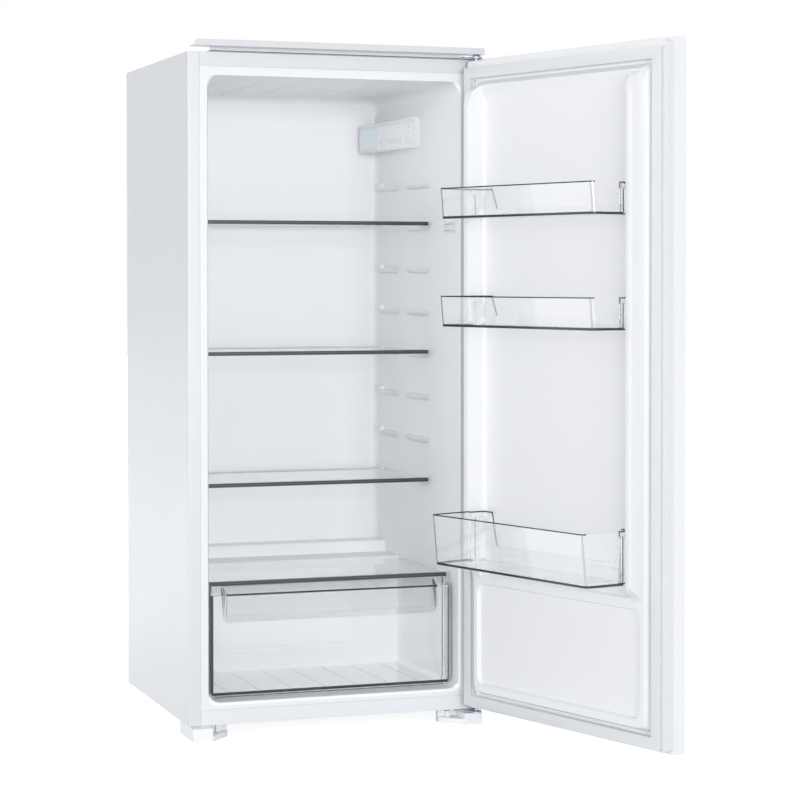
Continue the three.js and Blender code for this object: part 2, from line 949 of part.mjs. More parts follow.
function shelfLedges(side) {
  const bars = [];
  for (let step = 0; step < shelfLevelCount; step += 1) {
    const seat = shelfLevel(step) - shelfSeatDrop;
    const drop = ledge.depth - shelfSeatDrop;
    const stopFront = shelf.rear + touchGap;
    const stop = rectangle(...[side * ledge.innerHalfWidth, side * halfWidth].sort((a, b) => a - b),
      seat - ledge.nose, shelfLevel(step) + ledge.stopRise);
    for (const start of [ledge.frontStart, ledge.rearEnd - ledgeLength]) {
      bars.push(ledgeBar(side, seat, ledge.innerHalfWidth, ledge.nose, drop,
        start, start + ledgeLength, ledgeForm.fade));
    }
    bars.push(inward(stop, stopFront, ledge.rearEnd));
  }
  return bars;
}

function coverLedges(side) {
  return [cover.frontLedgeStart, cover.rearLedgeStart].map((start) => ledgeBar(
    side, coverSeat, cover.ledgeInner, cover.ledgeThickness / 2, cover.ledgeThickness,
    start, start + cover.ledgeLength, coverForm.ledgeFade,
  ));
}

// The raised ground of the control box, with ramps on its open sides
function fairingBlock() {
  const ring = (front, bottom, top, rise) => [
    [front, bottom], [fairing.end, bottom], [fairing.end, top], [front, top],
  ].map(([y, z]) => new THREE.Vector3(wallAt(y) - rise, y, z));
  return loft([
    ring(fairing.start, fairing.bottom, fairing.top, -liner.wall / 2),
    ring(fairing.start + fairing.ramp, fairing.bottom + fairing.slope,
      fairing.top - fairing.slope, fairing.proud),
  ], flattenYZ);
}

function ceilingGrooves() {
  const grooves = [];
  const ceiling = liner.openingTop - liner.lipHeight;
  for (let i = 0; i < ceilingGrooveCount; i += 1) {
    const x = (i - (ceilingGrooveCount - 1) / 2) * groovePitch;
    grooves.push(block(x - liner.grooveWidth / 2, x + liner.grooveWidth / 2,
      liner.grooveFront, liner.rearFace - linerForm.grooveRearMargin, ceiling - liner.ceilingFall - overrun,
      ceiling - liner.ceilingFall + liner.grooveDepth));
  }
  return grooves;
}

function switchCutout(clearance, depth) {
  return block(lightSwitch.face - overrun - clearance, lightSwitch.face + depth,
    lightSwitch.front - clearance, switchRear + clearance,
    lightSwitch.bottom - clearance, lightSwitch.bottom + lightSwitch.height + clearance);
}

function linerTub() {
  const flangeHalf = halfWidth - cabinet.sideFlange - touchGap;
  const flange = block(-flangeHalf, flangeHalf, 0, liner.wall,
    cabinet.bottomRail + touchGap, cabinet.height - cabinet.topRail - touchGap);
  const inside = [...shelfLedges(-1), ...shelfLedges(1), ...coverLedges(-1), ...coverLedges(1)];
  const outer = cut(tub(liner.wall, 0), [humpBlock(liner.wall)]).add(toSolid(flange));
  const hollow = cut(tub(0, -overrun), [humpBlock(0), fairingBlock(), ...inside]);
  const space = hollow.add(join(ceilingGrooves()));
  return cut(outer.subtract(space), [switchCutout(touchGap, lightSwitch.depth)]);
}

function addLiner() {
  addMesh(refrigerator, 'inner_liner', toGeometry(linerTub()), 'linerPlastic');
}

// Insulation, cast against the liner and the sheets in flat slabs

function linerOuterAt(y) {
  return wallAt(y) + liner.wall + touchGap;
}

function sideFoam(side) {
  const near = liner.wall + touchGap;
  const opening = liner.openingHalfWidth + liner.wall + touchGap;
  const plan = outline([
    [opening, near],
    [panelInside, near],
    [panelInside, backFace - cabinet.sheet - touchGap],
    [linerOuterAt(linerRearOuter), backFace - cabinet.sheet - touchGap],
    [linerOuterAt(linerRearOuter), linerRearOuter],
    [linerOuterAt(liner.lipDepth), liner.lipDepth],
  ].map(([x, y]) => [side * x, y]));
  const inside = cabinet.sheet + touchGap;
  const slab = toSolid(upright(plan, inside, cabinet.height - inside));
  const chamberSpace = block(-halfWidth, halfWidth, chamber.front - inside, cabinet.depth,
    -overrun, chamber.ceiling + inside);
  return cut(slab, [chamberSpace]);
}

// A slab between the side slabs, following their slant
function middleSlab(near, far, low, high) {
  const plan = outline([
    [-linerOuterAt(near) + touchGap, near],
    [linerOuterAt(near) - touchGap, near],
    [linerOuterAt(far) - touchGap, far],
    [-linerOuterAt(far) + touchGap, far],
  ]);
  return upright(plan, low, high);
}

function stepFoam() {
  const inside = cabinet.sheet + touchGap;
  const front = hump.crisperRear + liner.wall + touchGap;
  const underFloor = liner.floor - liner.wall - touchGap;
  const ledgeUnder = hump.ledgeLevel - liner.wall - touchGap;
  const topUnder = hump.topLevel - liner.wall - touchGap;
  const riser = hump.riserFront + 2 * hump.riserLean + liner.wall + touchGap;
  const profile = outline([
    [liner.lipDepth + overrun, inside],
    [chamber.front - inside, inside],
    [chamber.front - inside, chamber.ceiling + inside],
    [backFace - inside, chamber.ceiling + inside],
    [backFace - inside, topUnder],
    [riser, topUnder],
    [riser, ledgeUnder],
    [front + hump.radius, ledgeUnder],
    [front, ledgeUnder - hump.radius],
    [front, underFloor],
    [liner.lipDepth + overrun, underFloor],
  ]);
  const slab = toSolid(across(profile, -halfWidth, halfWidth));
  const bounds = middleSlab(liner.lipDepth, backFace, -overrun, cabinet.height);
  return slab.intersect(toSolid(bounds));
}

function addInsulation() {
  const inside = cabinet.sheet + touchGap;
  const ceiling = liner.openingTop + liner.wall + touchGap;
  const rearNear = linerRearOuter + 2 * touchGap + evaporator.thickness;
  const rearLow = hump.topLevel - liner.wall;
  const socket = switchCutout(touchGap, lightSwitch.depth + touchGap);
  addMesh(refrigerator, 'foam_left', toGeometry(sideFoam(-1)), 'foam');
  addMesh(refrigerator, 'foam_right', toGeometry(cut(sideFoam(1), [socket])), 'foam');
  const top = middleSlab(liner.lipDepth, backFace - inside, ceiling, cabinet.height - inside);
  addMesh(refrigerator, 'foam_top', top, 'foam');
  const rear = middleSlab(rearNear, backFace - inside, rearLow, ceiling - touchGap);
  addMesh(refrigerator, 'foam_rear', rear, 'foam');
  addMesh(refrigerator, 'foam_step', toGeometry(stepFoam()), 'foam');
  const plate = inward(
    roundedRectangle(-evaporator.halfWidth, evaporator.halfWidth, evaporator.bottom, evaporator.top,
      evaporator.radius),
    linerRearOuter + touchGap,
    linerRearOuter + touchGap + evaporator.thickness,
  );
  addMesh(refrigerator, 'evaporator_plate', plate, 'aluminium');
}

// Glass shelves

// A channel that grips the front or rear edge of a pane
function channel(face, towards, depth, slot, top, halfSpan) {
  const low = top - shelf.glass - 2 * (shelf.trimWall + touchGap);
  const slotTop = top - shelf.trimWall;
  const slotLow = low + shelf.trimWall;
  const slotEnd = face + towards * (depth - slot);
  const end = face + towards * depth;
  return across(outline([
    [face, low], [end, low], [end, slotLow], [slotEnd, slotLow],
    [slotEnd, slotTop], [end, slotTop], [end, top], [face, top],
  ]), -halfSpan, halfSpan);
}

function pane(front, rear, top, halfSpan) {
  const high = top - shelf.trimWall - touchGap;
  return block(-halfSpan, halfSpan, front, rear, high - shelf.glass, high);
}

function addShelves() {
  const rear = shelf.rear;
  const paneFront = shelf.front + shelf.trimDepth - shelf.trimSlot + touchGap;
  const paneRear = rear - shelf.rearTrimDepth + shelf.rearTrimSlot - touchGap;
  fittedLevels.forEach((step, i) => {
    const top = shelfLevel(step);
    const group = new THREE.Group();
    refrigerator.add(group);
    addMesh(group, `shelf_glass_${i + 1}`, pane(paneFront, paneRear, top, shelf.halfWidth), 'glass');
    const frontTrim = channel(shelf.front, 1, shelf.trimDepth, shelf.trimSlot, top, shelf.halfWidth);
    addMesh(group, `shelf_front_trim_${i + 1}`, frontTrim, 'shelfTrim');
    const rearTrim = channel(rear, -1, shelf.rearTrimDepth, shelf.rearTrimSlot, top,
      ledge.innerHalfWidth - touchGap);
    addMesh(group, `shelf_rear_trim_${i + 1}`, rearTrim, 'clearPlastic');
  });
}

// Crisper

function addCrisperCover() {
  const paneFront = cover.front + shelf.trimDepth - shelf.trimSlot + touchGap;
  addMesh(refrigerator, 'crisper_cover_glass',
    pane(paneFront, cover.rear, cover.top, cover.halfWidth), 'glass');
  addMesh(refrigerator, 'crisper_cover_trim',
    channel(cover.front, 1, shelf.trimDepth, shelf.trimSlot, cover.top, cover.halfWidth), 'shelfTrim');
}

// The drawer's section seen from the front, with rounded lower corners
function drawerSection(halfSpan, bottom, top, radius) {
  const shape = new THREE.Shape();
  shape.moveTo(halfSpan, top);
  shape.lineTo(-halfSpan, top);
  shape.lineTo(-halfSpan, bottom + radius);
  shape.absarc(-halfSpan + radius, bottom + radius, radius, Math.PI, 1.5 * Math.PI, false);
  shape.absarc(halfSpan - radius, bottom + radius, radius, 1.5 * Math.PI, 2 * Math.PI, false);
  return shape;
}

// The drawer's section seen from the side: toe radius, straight front and leaning top edge
function drawerProfile(inset, top) {
  const front = drawer.front + inset;
  const bottom = drawer.floor + inset;
  const radius = drawer.toeRadius - inset;
  const shape = new THREE.Shape();
  shape.moveTo(front, bottom + radius);
  shape.lineTo(front, drawer.top - drawer.chamferHeight);
  shape.lineTo(front + drawer.chamferDepth, drawer.top);
  shape.lineTo(front + drawer.chamferDepth, top);
  shape.lineTo(drawer.rear - inset, top);
  shape.lineTo(drawer.rear - inset, bottom);
  shape.absarc(front + radius, bottom + radius, radius, 1.5 * Math.PI, Math.PI, true);
  return shape;
}

function drawerSolid(inset, top) {
  const bottom = drawer.floor + inset;
  const radius = drawer.cornerRadius - inset;
  const face = inward(drawerSection(drawer.halfWidth - inset, bottom, drawer.top + overrun, radius),
    drawer.front - overrun, drawer.shoulder - inset);
  const body = inward(drawerSection(drawer.bodyHalfWidth - inset, bottom, drawer.top + overrun, radius),
    drawer.front, drawer.rear);
  return join([face, body]).intersect(toSolid(across(drawerProfile(inset, top), -halfWidth, halfWidth)));
}

// The hollow behind the grip, where the front leans back to make room for fingers
function scoop(inset) {
  const half = drawer.lipHalfWidth + inset;
  const low = drawer.top - drawer.chamferHeight - drawer.scoopHeight;
  return across(outline([
    [drawer.front - overrun + inset, low],
    [drawer.front + inset, low],
    [drawer.front + drawer.chamferDepth + inset, drawer.top],
    [drawer.front + drawer.chamferDepth + inset, drawer.top + 2 * overrun],
    [drawer.front - overrun + inset, drawer.top + 2 * overrun],
  ]), -half, half);
}

function gripPlate() {
  const top = drawer.top;
  const back = drawer.front + drawer.chamferDepth;
  return across(outline([
    [drawer.lipFront, drawer.lipBottom],
    [drawer.lipFront + drawer.lipWall, drawer.lipBottom],
    [drawer.lipFront + drawer.lipWall, drawer.lipTop - drawer.lipWall],
    [back + drawer.wall / 2, top - drawer.lipWall],
    [back + drawer.wall / 2, top],
    [drawer.lipFront + drawer.lipWall, drawer.lipTop],
    [drawer.lipFront, drawer.lipTop - drawer.lipWall / 2],
  ]), -drawer.lipHalfWidth, drawer.lipHalfWidth);
}

function drawerRibs() {
  const ribs = [];
  for (let i = 0; i < drawerRibCount; i += 1) {
    const x = (i - (drawerRibCount - 1) / 2) * drawerRibPitch;
    const low = drawer.floor + drawer.wall / 2;
    ribs.push(block(x - drawer.ribWidth / 2, x + drawer.ribWidth / 2,
      drawer.shoulder, drawer.rear - drawer.wall - drawer.toeRadius, low,
      drawer.floor + drawer.wall + drawer.ribHeight));
  }
  return ribs;
}

function crisperDrawer() {
  const rearTop = block(-halfWidth, halfWidth, drawer.shoulder, cabinet.depth,
    drawer.bodyTop, cabinet.height);
  const outer = cut(drawerSolid(0, drawer.top), [rearTop, scoop(0)]);
  const hollow = cut(drawerSolid(drawer.wall, drawer.top + overrun), [scoop(drawer.wall)]);
  return outer.subtract(hollow).add(toSolid(gripPlate())).add(join(drawerRibs()));
}

function addDrawer() {
  addMesh(refrigerator, 'crisper_drawer', toGeometry(crisperDrawer()), 'clearPlastic');
}

// Control box, built along its own face: x runs rearwards, y out into the compartment

function controlFrame() {
  const run = new THREE.Vector2(control.rearX - control.frontX, control.rearY - control.frontY);
  return { angle: run.angle(), length: run.length() };
}

function toControl(x, y) {
  const { angle } = controlFrame();
  const place = new THREE.Vector2(x - control.frontX, y - control.frontY);
  return place.rotateAround(new THREE.Vector2(), -angle).toArray();
}

function controlHousing() {
  const { length } = controlFrame();
  const ground = (y) => toControl(wallAt(y) - fairing.proud - touchGap, y);
  const radius = control.radius;
  const plan = outline([
    [0, 0],
    [length, 0],
    ground(control.rearY),
    ground(control.frontY - control.nose),
    [-control.nose, -control.noseFall],
  ]);
  const face = new THREE.Shape();
  const rearTop = control.top - control.rearDrop;
  face.absarc(length - radius, control.bottom + radius, radius, -Math.PI / 2, 0, false);
  face.absarc(length - radius, rearTop - radius, radius, 0, Math.PI / 2, false);
  face.absarc(radius - control.nose, control.top - radius, radius, Math.PI / 2, Math.PI, false);
  face.absarc(radius - control.nose, control.bottom + radius, radius, Math.PI, 1.5 * Math.PI, false);
  const depth = control.frontX;
  const shell = toSolid(upright(plan, control.bottom - overrun, control.top + overrun))
    .intersect(toSolid(inward(face, -depth, overrun)));
  const lensStart = length - control.lensLength - control.lensMargin;
  const pocket = inward(lensOutline(control.boardMargin), -control.lensDepth - control.lampPocket, overrun);
  const buttons = buttonPlaces().map(([x, z]) => inward(
    circle(x, z, control.buttonRadius + control.buttonClearance),
    -control.fasciaThickness - control.buttonPocket, overrun, buttonSteps));
  return cut(shell, [
    inward(lensOutline(-touchGap), -control.lensDepth - touchGap, overrun),
    pocket,
    inward(fasciaOutline(lensStart, -touchGap), -control.fasciaThickness - touchGap, overrun),
    ...buttons,
  ]);
}

// The lens sits at the rear end of the face
function lensOutline(inset) {
  const { length } = controlFrame();
  const start = length - control.lensLength - control.lensMargin + inset;
  const end = length - control.lensMargin - inset;
  const low = control.bottom + control.lensMargin + inset;
  const high = control.top - control.rearDrop - control.lensMargin - inset;
  return roundedRectangle(start, end, low, high, control.lensMargin);
}

// The fascia fills the rest of the face, ahead of the lens
function fasciaOutline(lensStart, inset) {
  const start = lensStart - control.fasciaMargin - control.fasciaLength + inset;
  return roundedRectangle(start, lensStart - control.fasciaMargin - inset,
    control.bottom + control.fasciaMargin + inset,
    control.top - control.rearDrop - control.fasciaMargin - inset, control.fasciaRadius);
}

function buttonPlaces() {
  const { length } = controlFrame();
  const fasciaStart = length - control.lensLength - control.lensMargin
    - control.fasciaMargin - control.fasciaLength;
  const z = control.bottom + control.fasciaMargin + control.buttonHeightAboveBottom;
  return [control.modeButtonPlace, control.setButtonPlace].map((place) => [fasciaStart + place, z]);
}

function addControls() {
  const { angle, length } = controlFrame();
  const group = new THREE.Group();
  group.position.set(control.frontX, control.frontY, 0);
  group.rotation.z = angle;
  refrigerator.add(group);
  const lensStart = length - control.lensLength - control.lensMargin;
  addMesh(group, 'control_housing', toGeometry(controlHousing()), 'whitePlastic');
  addMesh(group, 'lamp_lens', inward(lensOutline(0), -control.lensDepth, 0), 'lens');
  const holes = buttonPlaces().map(([x, z]) => inward(
    circle(x, z, control.buttonRadius + control.buttonClearance),
    -control.fasciaThickness - overrun, overrun, buttonSteps));
  const fascia = toSolid(inward(fasciaOutline(lensStart, 0), -control.fasciaThickness, 0));
  addMesh(group, 'control_fascia', toGeometry(cut(fascia, holes)), 'greyPlastic');
  const boardBack = -control.lensDepth - control.lampPocket + touchGap;
  const boardFront = boardBack + control.boardThickness;
  const diodes = [1, 2].map((third) => inward(
    circle(lensStart + (control.lensLength * third) / 3, (control.bottom + control.top - control.rearDrop) / 2,
      control.diodeRadius),
    boardBack, boardFront + control.diodeHeight));
  const board = join([
    inward(lensOutline(control.boardMargin + touchGap), boardBack, boardFront), ...diodes]);
  addMesh(group, 'lamp_board', toGeometry(board), 'board');
  ['mode_button', 'set_button'].forEach((name, i) => {
    const [x, z] = buttonPlaces()[i];
    const cap = inward(circle(x, z, control.buttonRadius),
      control.buttonProud - control.buttonHeight, control.buttonProud, buttonSteps);
    addMesh(group, name, cap, 'greyPlastic');
  });
}

// Light switch

function addLightSwitch() {
  const s = lightSwitch;
  const top = s.bottom + s.height;
  const pocketFront = s.front + switchForm.pocketMargin;
  const housing = toSolid(block(s.face, s.face + s.depth, s.front, switchRear, s.bottom, top));
  const pocket = block(s.face - overrun, s.face + s.pocketDepth, pocketFront, switchRear - s.frame,
    s.bottom + s.frame, top - s.frame);
  addMesh(refrigerator, 'switch_housing', toGeometry(cut(housing, [pocket])), 'whitePlastic');
  const near = pocketFront + s.rockerClearance;
  const far = switchRear - s.frame - s.rockerClearance;
  const proud = s.face - s.rockerProud;
  const plan = outline([
    [proud + s.rockerProud / 2, near],
    [proud + s.rockerThickness, near],
    [proud + s.rockerThickness, far - s.pivotInset],
    [s.face + s.pivotInset, far],
    [s.face - s.rockerProud / 4, far],
    [proud, near + s.rockerThickness],
  ]);
  const rocker = upright(plan, s.bottom + s.frame + s.rockerClearance, top - s.frame - s.rockerClearance);
  addMesh(refrigerator, 'switch_rocker', rocker, 'whitePlastic');
}

// Hinges and cover strip

function hingeBracket(low, pinLow, pinHigh) {
  const shape = new THREE.Shape();
  shape.moveTo(hinge.inner, hinge.rear);
  shape.lineTo(hinge.inner, touchGap);
  shape.lineTo(door.pivotX - hinge.armRadius, door.pivotY);
  shape.absarc(door.pivotX, door.pivotY, hinge.armRadius, Math.PI, 2 * Math.PI, false);
  shape.lineTo(hinge.outer, touchGap);
  shape.lineTo(hinge.outer, hinge.rear);
  return join([
    upright(shape, low, low + hinge.plate),
    disc(door.pivotX, door.pivotY, hinge.pinRadius, pinLow, pinHigh),
  ]);
}

function bush(flangeFace, direction) {
  const flangeEnd = flangeFace + direction * hinge.bushFlange;
  const bodyEnd = flangeFace - direction * hinge.bushDepth;
  const span = (a, b) => [Math.min(a, b), Math.max(a, b)];
  const flange = roundedRectangle(
    door.pivotX - hinge.bushFlangeReach, door.pivotX + hinge.bushFlangeReach,
    door.pivotY - hinge.bushRadius, door.pivotY + hinge.bushFlangeReach, hinge.boreRadius);
  const ring = join([
    upright(flange, ...span(flangeFace, flangeEnd)),
    disc(door.pivotX, door.pivotY, hinge.bushRadius, ...span(flangeEnd, bodyEnd)),
  ]);
  const boreEnd = flangeFace - direction * (hinge.bushDepth - hinge.bushFlange);
  return cut(ring, [disc(door.pivotX, door.pivotY, hinge.boreRadius,
    ...span(flangeEnd + direction * overrun, boreEnd))]);
}

function addHinges() {
  const topLow = cabinet.height + touchGap;
  const bottomLow = -touchGap - hinge.plate;
  const upper = hingeBracket(topLow, door.rimTop - hinge.pinEngagement, topLow + hinge.plate);
  addMesh(refrigerator, 'hinge_bracket_top', toGeometry(upper), 'zincedHinge');
  const lower = hingeBracket(bottomLow, bottomLow, rimBottom + hinge.pinEngagement);
  addMesh(refrigerator, 'hinge_bracket_bottom', toGeometry(lower), 'zincedHinge');
}

function coverStrip() {
  const plateTop = strip.underside + strip.plate;
  const footTop = cabinet.height + touchGap + strip.plate;
  return join([
    inward(roundedRectangle(-halfWidth + strip.endInset, halfWidth - strip.endInset,
      strip.underside, strip.top, strip.endRadius), strip.front, strip.front + strip.wall),
    block(-halfWidth + strip.plateInset, halfWidth - strip.plateInset, strip.front,
      strip.webFront + strip.plate, strip.underside, plateTop),
    block(strip.webLeft, strip.webRight, strip.webFront, strip.webFront + strip.plate,
      cabinet.height + touchGap, plateTop),
    block(strip.webLeft, strip.webRight, strip.webFront, strip.webFront + strip.footDepth,
      cabinet.height + touchGap, footTop),
  ]);
}

// Feet

function frontFoot(side, top) {
  const shelfTop = -foot.height + foot.shelf;
  const mirror = (points) => outline(points.map(([x, y]) => [side * x, y]));
  const wallRear = foot.wallFront + foot.wallDepth;
  const plan = mirror([
    [foot.outer, foot.front],
    [foot.step, foot.front],
    [foot.inner, foot.slantEnd],
    [foot.inner, wallRear],
    [foot.step, wallRear],
    [foot.step, foot.rear],
    [foot.outer, foot.rear],
  ]);
  const tall = mirror([
    [foot.outer, foot.front], [foot.step, foot.front], [foot.step, foot.rear], [foot.outer, foot.rear],
  ]);
  const back = mirror([
    [foot.outer, foot.wallFront], [foot.inner, foot.wallFront], [foot.inner, wallRear], [foot.outer, wallRear],
  ]);
  const postFront = foot.wallFront - foot.postDepth;
  const post = mirror([
    [footPostInner, postFront], [footPostInner + foot.postWidth, postFront],
    [footPostInner + foot.postWidth, wallRear], [footPostInner, wallRear],
  ]);
  return join([
    upright(plan, -foot.height, shelfTop),
    upright(tall, shelfTop - touchGap, top),
    upright(back, shelfTop - touchGap, top),
    upright(post, shelfTop - touchGap, top),
  ]);
}

function rearFoot(side) {
  const outer = halfWidth - foot.rearFootInset;
  const inner = outer - 2 * foot.rearFootHalfWidth;
  const rear = cabinet.depth - foot.rearFootSetback;
  const edges = [side * inner, side * outer].sort((a, b) => a - b);
  return upright(roundedRectangle(...edges, rear - foot.rearFootDepth, rear, foot.rearFootSetback / 2),
    -foot.height, -touchGap);
}

function addStripAndFeet() {
  addMesh(refrigerator, 'cover_strip', toGeometry(coverStrip()), 'whitePlastic');
  const underHinge = -2 * touchGap - hinge.plate;
  addMesh(refrigerator, 'front_foot_left', toGeometry(frontFoot(-1, -touchGap)), 'whitePlastic');
  addMesh(refrigerator, 'front_foot_right', toGeometry(frontFoot(1, underHinge)), 'whitePlastic');
  addMesh(refrigerator, 'rear_foot_left', rearFoot(-1), 'whitePlastic');
  addMesh(refrigerator, 'rear_foot_right', rearFoot(1), 'whitePlastic');
}

// Compressor chamber

function compressorCan() {
  const c = compressor;
  const middle = c.bottom + c.height * canSeamShare;
  const top = c.bottom + c.height;
  const seamShare = 1 + c.seamProud / c.halfWidth;
  const seamHalf = c.seamHeight / 2;
  const lower = canDomeShares.map(([r, h]) => new THREE.Vector2(r, c.bottom + h * (middle - c.bottom)));
  const upper = canDomeShares.map(([r, h]) => new THREE.Vector2(r, top - h * (top - middle))).reverse();
  const profile = [
    new THREE.Vector2(0, c.bottom),
    ...lower,
    new THREE.Vector2(1, middle - seamHalf),
    new THREE.Vector2(seamShare, middle - seamHalf),
    new THREE.Vector2(seamShare, middle + seamHalf),
    new THREE.Vector2(1, middle + seamHalf),
    ...upper,
    new THREE.Vector2(0, top),
  ];
  const lathe = new THREE.LatheGeometry(profile, canSides).rotateX(Math.PI / 2);
  lathe.scale(c.halfLength, c.halfWidth, 1).translate(c.centreX, c.centreY, 0);
  const railLow = basePlate.thickness + basePlate.grommetHeight + touchGap;
  const rails = [-1, 1].map((side) => block(
    c.centreX + side * c.railSpread - c.railWidth / 2, c.centreX + side * c.railSpread + c.railWidth / 2,
    c.centreY - c.railReach, c.centreY + c.railReach, railLow, railLow + c.railHeight,
  ));
  const saddles = [-1, 1].map((side) => block(
    c.centreX + side * c.railSpread - c.railWidth / 2, c.centreX + side * c.railSpread + c.railWidth / 2,
    c.centreY - c.railReach / 2, c.centreY + c.railReach / 2,
    railLow, c.bottom + (middle - c.bottom) / 2,
  ));
  return join([lathe, ...rails, ...saddles]);
}

function compressorBase() {
  const b = basePlate;
  const front = chamber.front + b.margin;
  const rear = cabinet.depth - b.rearInset;
  const plate = block(-panelInside, panelInside, front, rear, 0, b.thickness);
  const flanges = [front, rear - b.thickness].map((y) => block(
    -panelInside, panelInside, y, y + b.thickness, 0, b.flange));
  const grommets = [];
  for (const side of [-1, 1]) {
    for (const end of [-1, 1]) {
      grommets.push(disc(
        compressor.centreX + side * compressor.railSpread,
        compressor.centreY + end * (compressor.railReach - b.grommetRadius),
        b.grommetRadius, b.thickness / 2, b.thickness + b.grommetHeight,
      ));
    }
  }
  return join([plate, ...flanges, ...grommets]);
}

// From the middle of the can to the end of its seam
function canReach() {
  return compressor.halfLength * (1 + compressor.seamProud / compressor.halfWidth);
}

function relayCover() {
  const right = compressor.centreX - canReach() - touchGap;
  const left = right - relay.width;
  const near = compressor.centreY - relay.depth / 2;
  const cap = upright(roundedRectangle(left, right, near, near + relay.depth, relay.radius),
    relay.bottom, relay.bottom + relay.height);
  const inletX = (left + right) / 2;
  const inlet = disc(inletX, compressor.centreY, relay.inletRadius,
    relay.bottom - relay.inletLength, relay.bottom + relay.wall);
  return join([cap, inlet]);
}

function evaporationTray() {
  const low = compressor.bottom + compressor.height + touchGap;
  const shape = (inset) => roundedRectangle(
    compressor.centreX - tray.length / 2 + inset, compressor.centreX + tray.length / 2 - inset,
    compressor.centreY - tray.width / 2 + inset, compressor.centreY + tray.width / 2 - inset,
    tray.radius - inset,
  );
  const outer = toSolid(upright(shape(0), low, low + tray.height));
  return cut(outer, [upright(shape(tray.wall), low + tray.wall, low + tray.height + overrun)]);
}

function drainSpout() {
  const top = chamber.ceiling - touchGap;
  const y = compressor.centreY - drain.ahead;
  const tube = join([
    disc(compressor.centreX, y, drain.flangeRadius, top - drain.flange, top),
    disc(compressor.centreX, y, drain.radius, top - drain.flange - drain.length, top),
  ]);
  return cut(tube, [disc(compressor.centreX, y, drain.bore,
    top - drain.flange - drain.length - overrun, top + overrun)]);
}

function addMachinery() {
  addMesh(refrigerator, 'compressor_base', toGeometry(compressorBase()), 'galvanisedSteel');
  addMesh(refrigerator, 'compressor', toGeometry(compressorCan()), 'blackSteel');
  addMesh(refrigerator, 'relay_cover', toGeometry(relayCover()), 'darkPlastic');
  addMesh(refrigerator, 'evaporation_tray', toGeometry(evaporationTray()), 'darkPlastic');
  addMesh(refrigerator, 'drain_spout', toGeometry(drainSpout()), 'whitePlastic');
}

// Condenser and pipes

// A path through given points, whose stations keep their own spacing
class StationPath extends THREE.Curve {
  constructor(points) {
    super();
    this.points = points;
  }

  getPoint(t) {
    const place = t * (this.points.length - 1);
    const i = Math.min(Math.floor(place), this.points.length - 2);
    return this.points[i].clone().lerp(this.points[i + 1], place - i);
  }

  getPointAt(t) {
    return this.getPoint(t);
  }

  getTangentAt(t) {
    const i = Math.round(t * (this.points.length - 1));
    const before = this.points[Math.max(i - 1, 0)];
    const after = this.points[Math.min(i + 1, this.points.length - 1)];
    return after.clone().sub(before).normalize();
  }
}

function tubeAlong(points, radius) {
  const path = new StationPath(points);
  return new THREE.ExtrudeGeometry(circle(0, 0, radius), {
    steps: points.length - 1, curveSegments: bendSteps, bevelEnabled: false, extrudePath: path,
  });
}

// The points of a path with each inner corner turned into an arc
function rounded(corners, radius) {
  const points = [corners[0]];
  for (let i = 1; i + 1 < corners.length; i += 1) {
    const into = corners[i].clone().sub(corners[i - 1]).normalize();
    const out = corners[i + 1].clone().sub(corners[i]).normalize();
    const start = corners[i].clone().addScaledVector(into, -radius);
    const end = corners[i].clone().addScaledVector(out, radius);
    for (let step = 0; step <= bendSteps; step += 1) {
      const bend = new THREE.QuadraticBezierCurve3(start, corners[i], end);
      points.push(bend.getPoint(step / bendSteps));
    }
  }
  points.push(corners.at(-1));
  return points;
}

function condenserPlane() {
  return backFace + condenser.backGap + condenser.tubeRadius;
}

function serpentine() {
  const y = condenserPlane();
  const radius = passPitch / 2;
  const straight = condenser.halfWidth - radius;
  const points = [];
  for (let pass = 0; pass < condenserPasses; pass += 1) {
    const z = condenser.bottom + pass * passPitch;
    const side = pass % 2 === 0 ? 1 : -1;
    points.push(new THREE.Vector3(-side * straight, y, z));
    if (pass + 1 === condenserPasses) {
      points.push(new THREE.Vector3(side * straight, y, z));
      break;
    }
    for (let step = 0; step < bendSteps; step += 1) {
      const angle = (step / bendSteps) * Math.PI;
      points.push(new THREE.Vector3(
        side * (straight + radius * Math.sin(angle)), y, z + radius * (1 - Math.cos(angle))));
    }
  }
  return points;
}

function condenserGrid() {
  const y = condenserPlane();
  const low = condenser.bottom - condenser.wireOverhang;
  const high = condenser.bottom + (condenserPasses - 1) * passPitch + condenser.wireOverhang;
  const wireNear = y + condenser.tubeRadius - condenser.wireWidth / 2;
  const wires = [];
  for (let i = 0; i < condenserWires; i += 1) {
    const x = (i - (condenserWires - 1) / 2) * wirePitch;
    wires.push(block(x - condenser.wireWidth / 2, x + condenser.wireWidth / 2,
      wireNear, wireNear + condenser.wireWidth, low, high));
  }
  const bracketX = wirePitch * (condenserWires - 1) / 2;
  const brackets = [];
  for (const side of [-1, 1]) {
    for (const z of [low, high - condenser.bracketLength]) {
      const x = side * bracketX;
      brackets.push(block(x - condenser.bracketThickness, x + condenser.bracketThickness,
        backFace + touchGap, wireNear + condenser.wireWidth, z, z + condenser.bracketWidth));
    }
  }
  return join([tubeAlong(serpentine(), condenser.tubeRadius), ...wires, ...brackets]);
}

function addCoolingCircuit() {
  addMesh(refrigerator, 'condenser', toGeometry(condenserGrid()), 'blackSteel');
  const y = condenserPlane();
  const stubHeight = compressor.bottom + compressor.height * pipeHeightShare;
  const inletX = -(condenser.halfWidth - passPitch / 2);
  addMesh(refrigerator, 'discharge_pipe', dischargePipe(stubHeight, y), 'copper');
  addMesh(refrigerator, 'suction_pipe', suctionPipe(stubHeight), 'copper');
  addMesh(refrigerator, 'filter_drier', toGeometry(filterDrier(inletX, y)), 'copper');
}

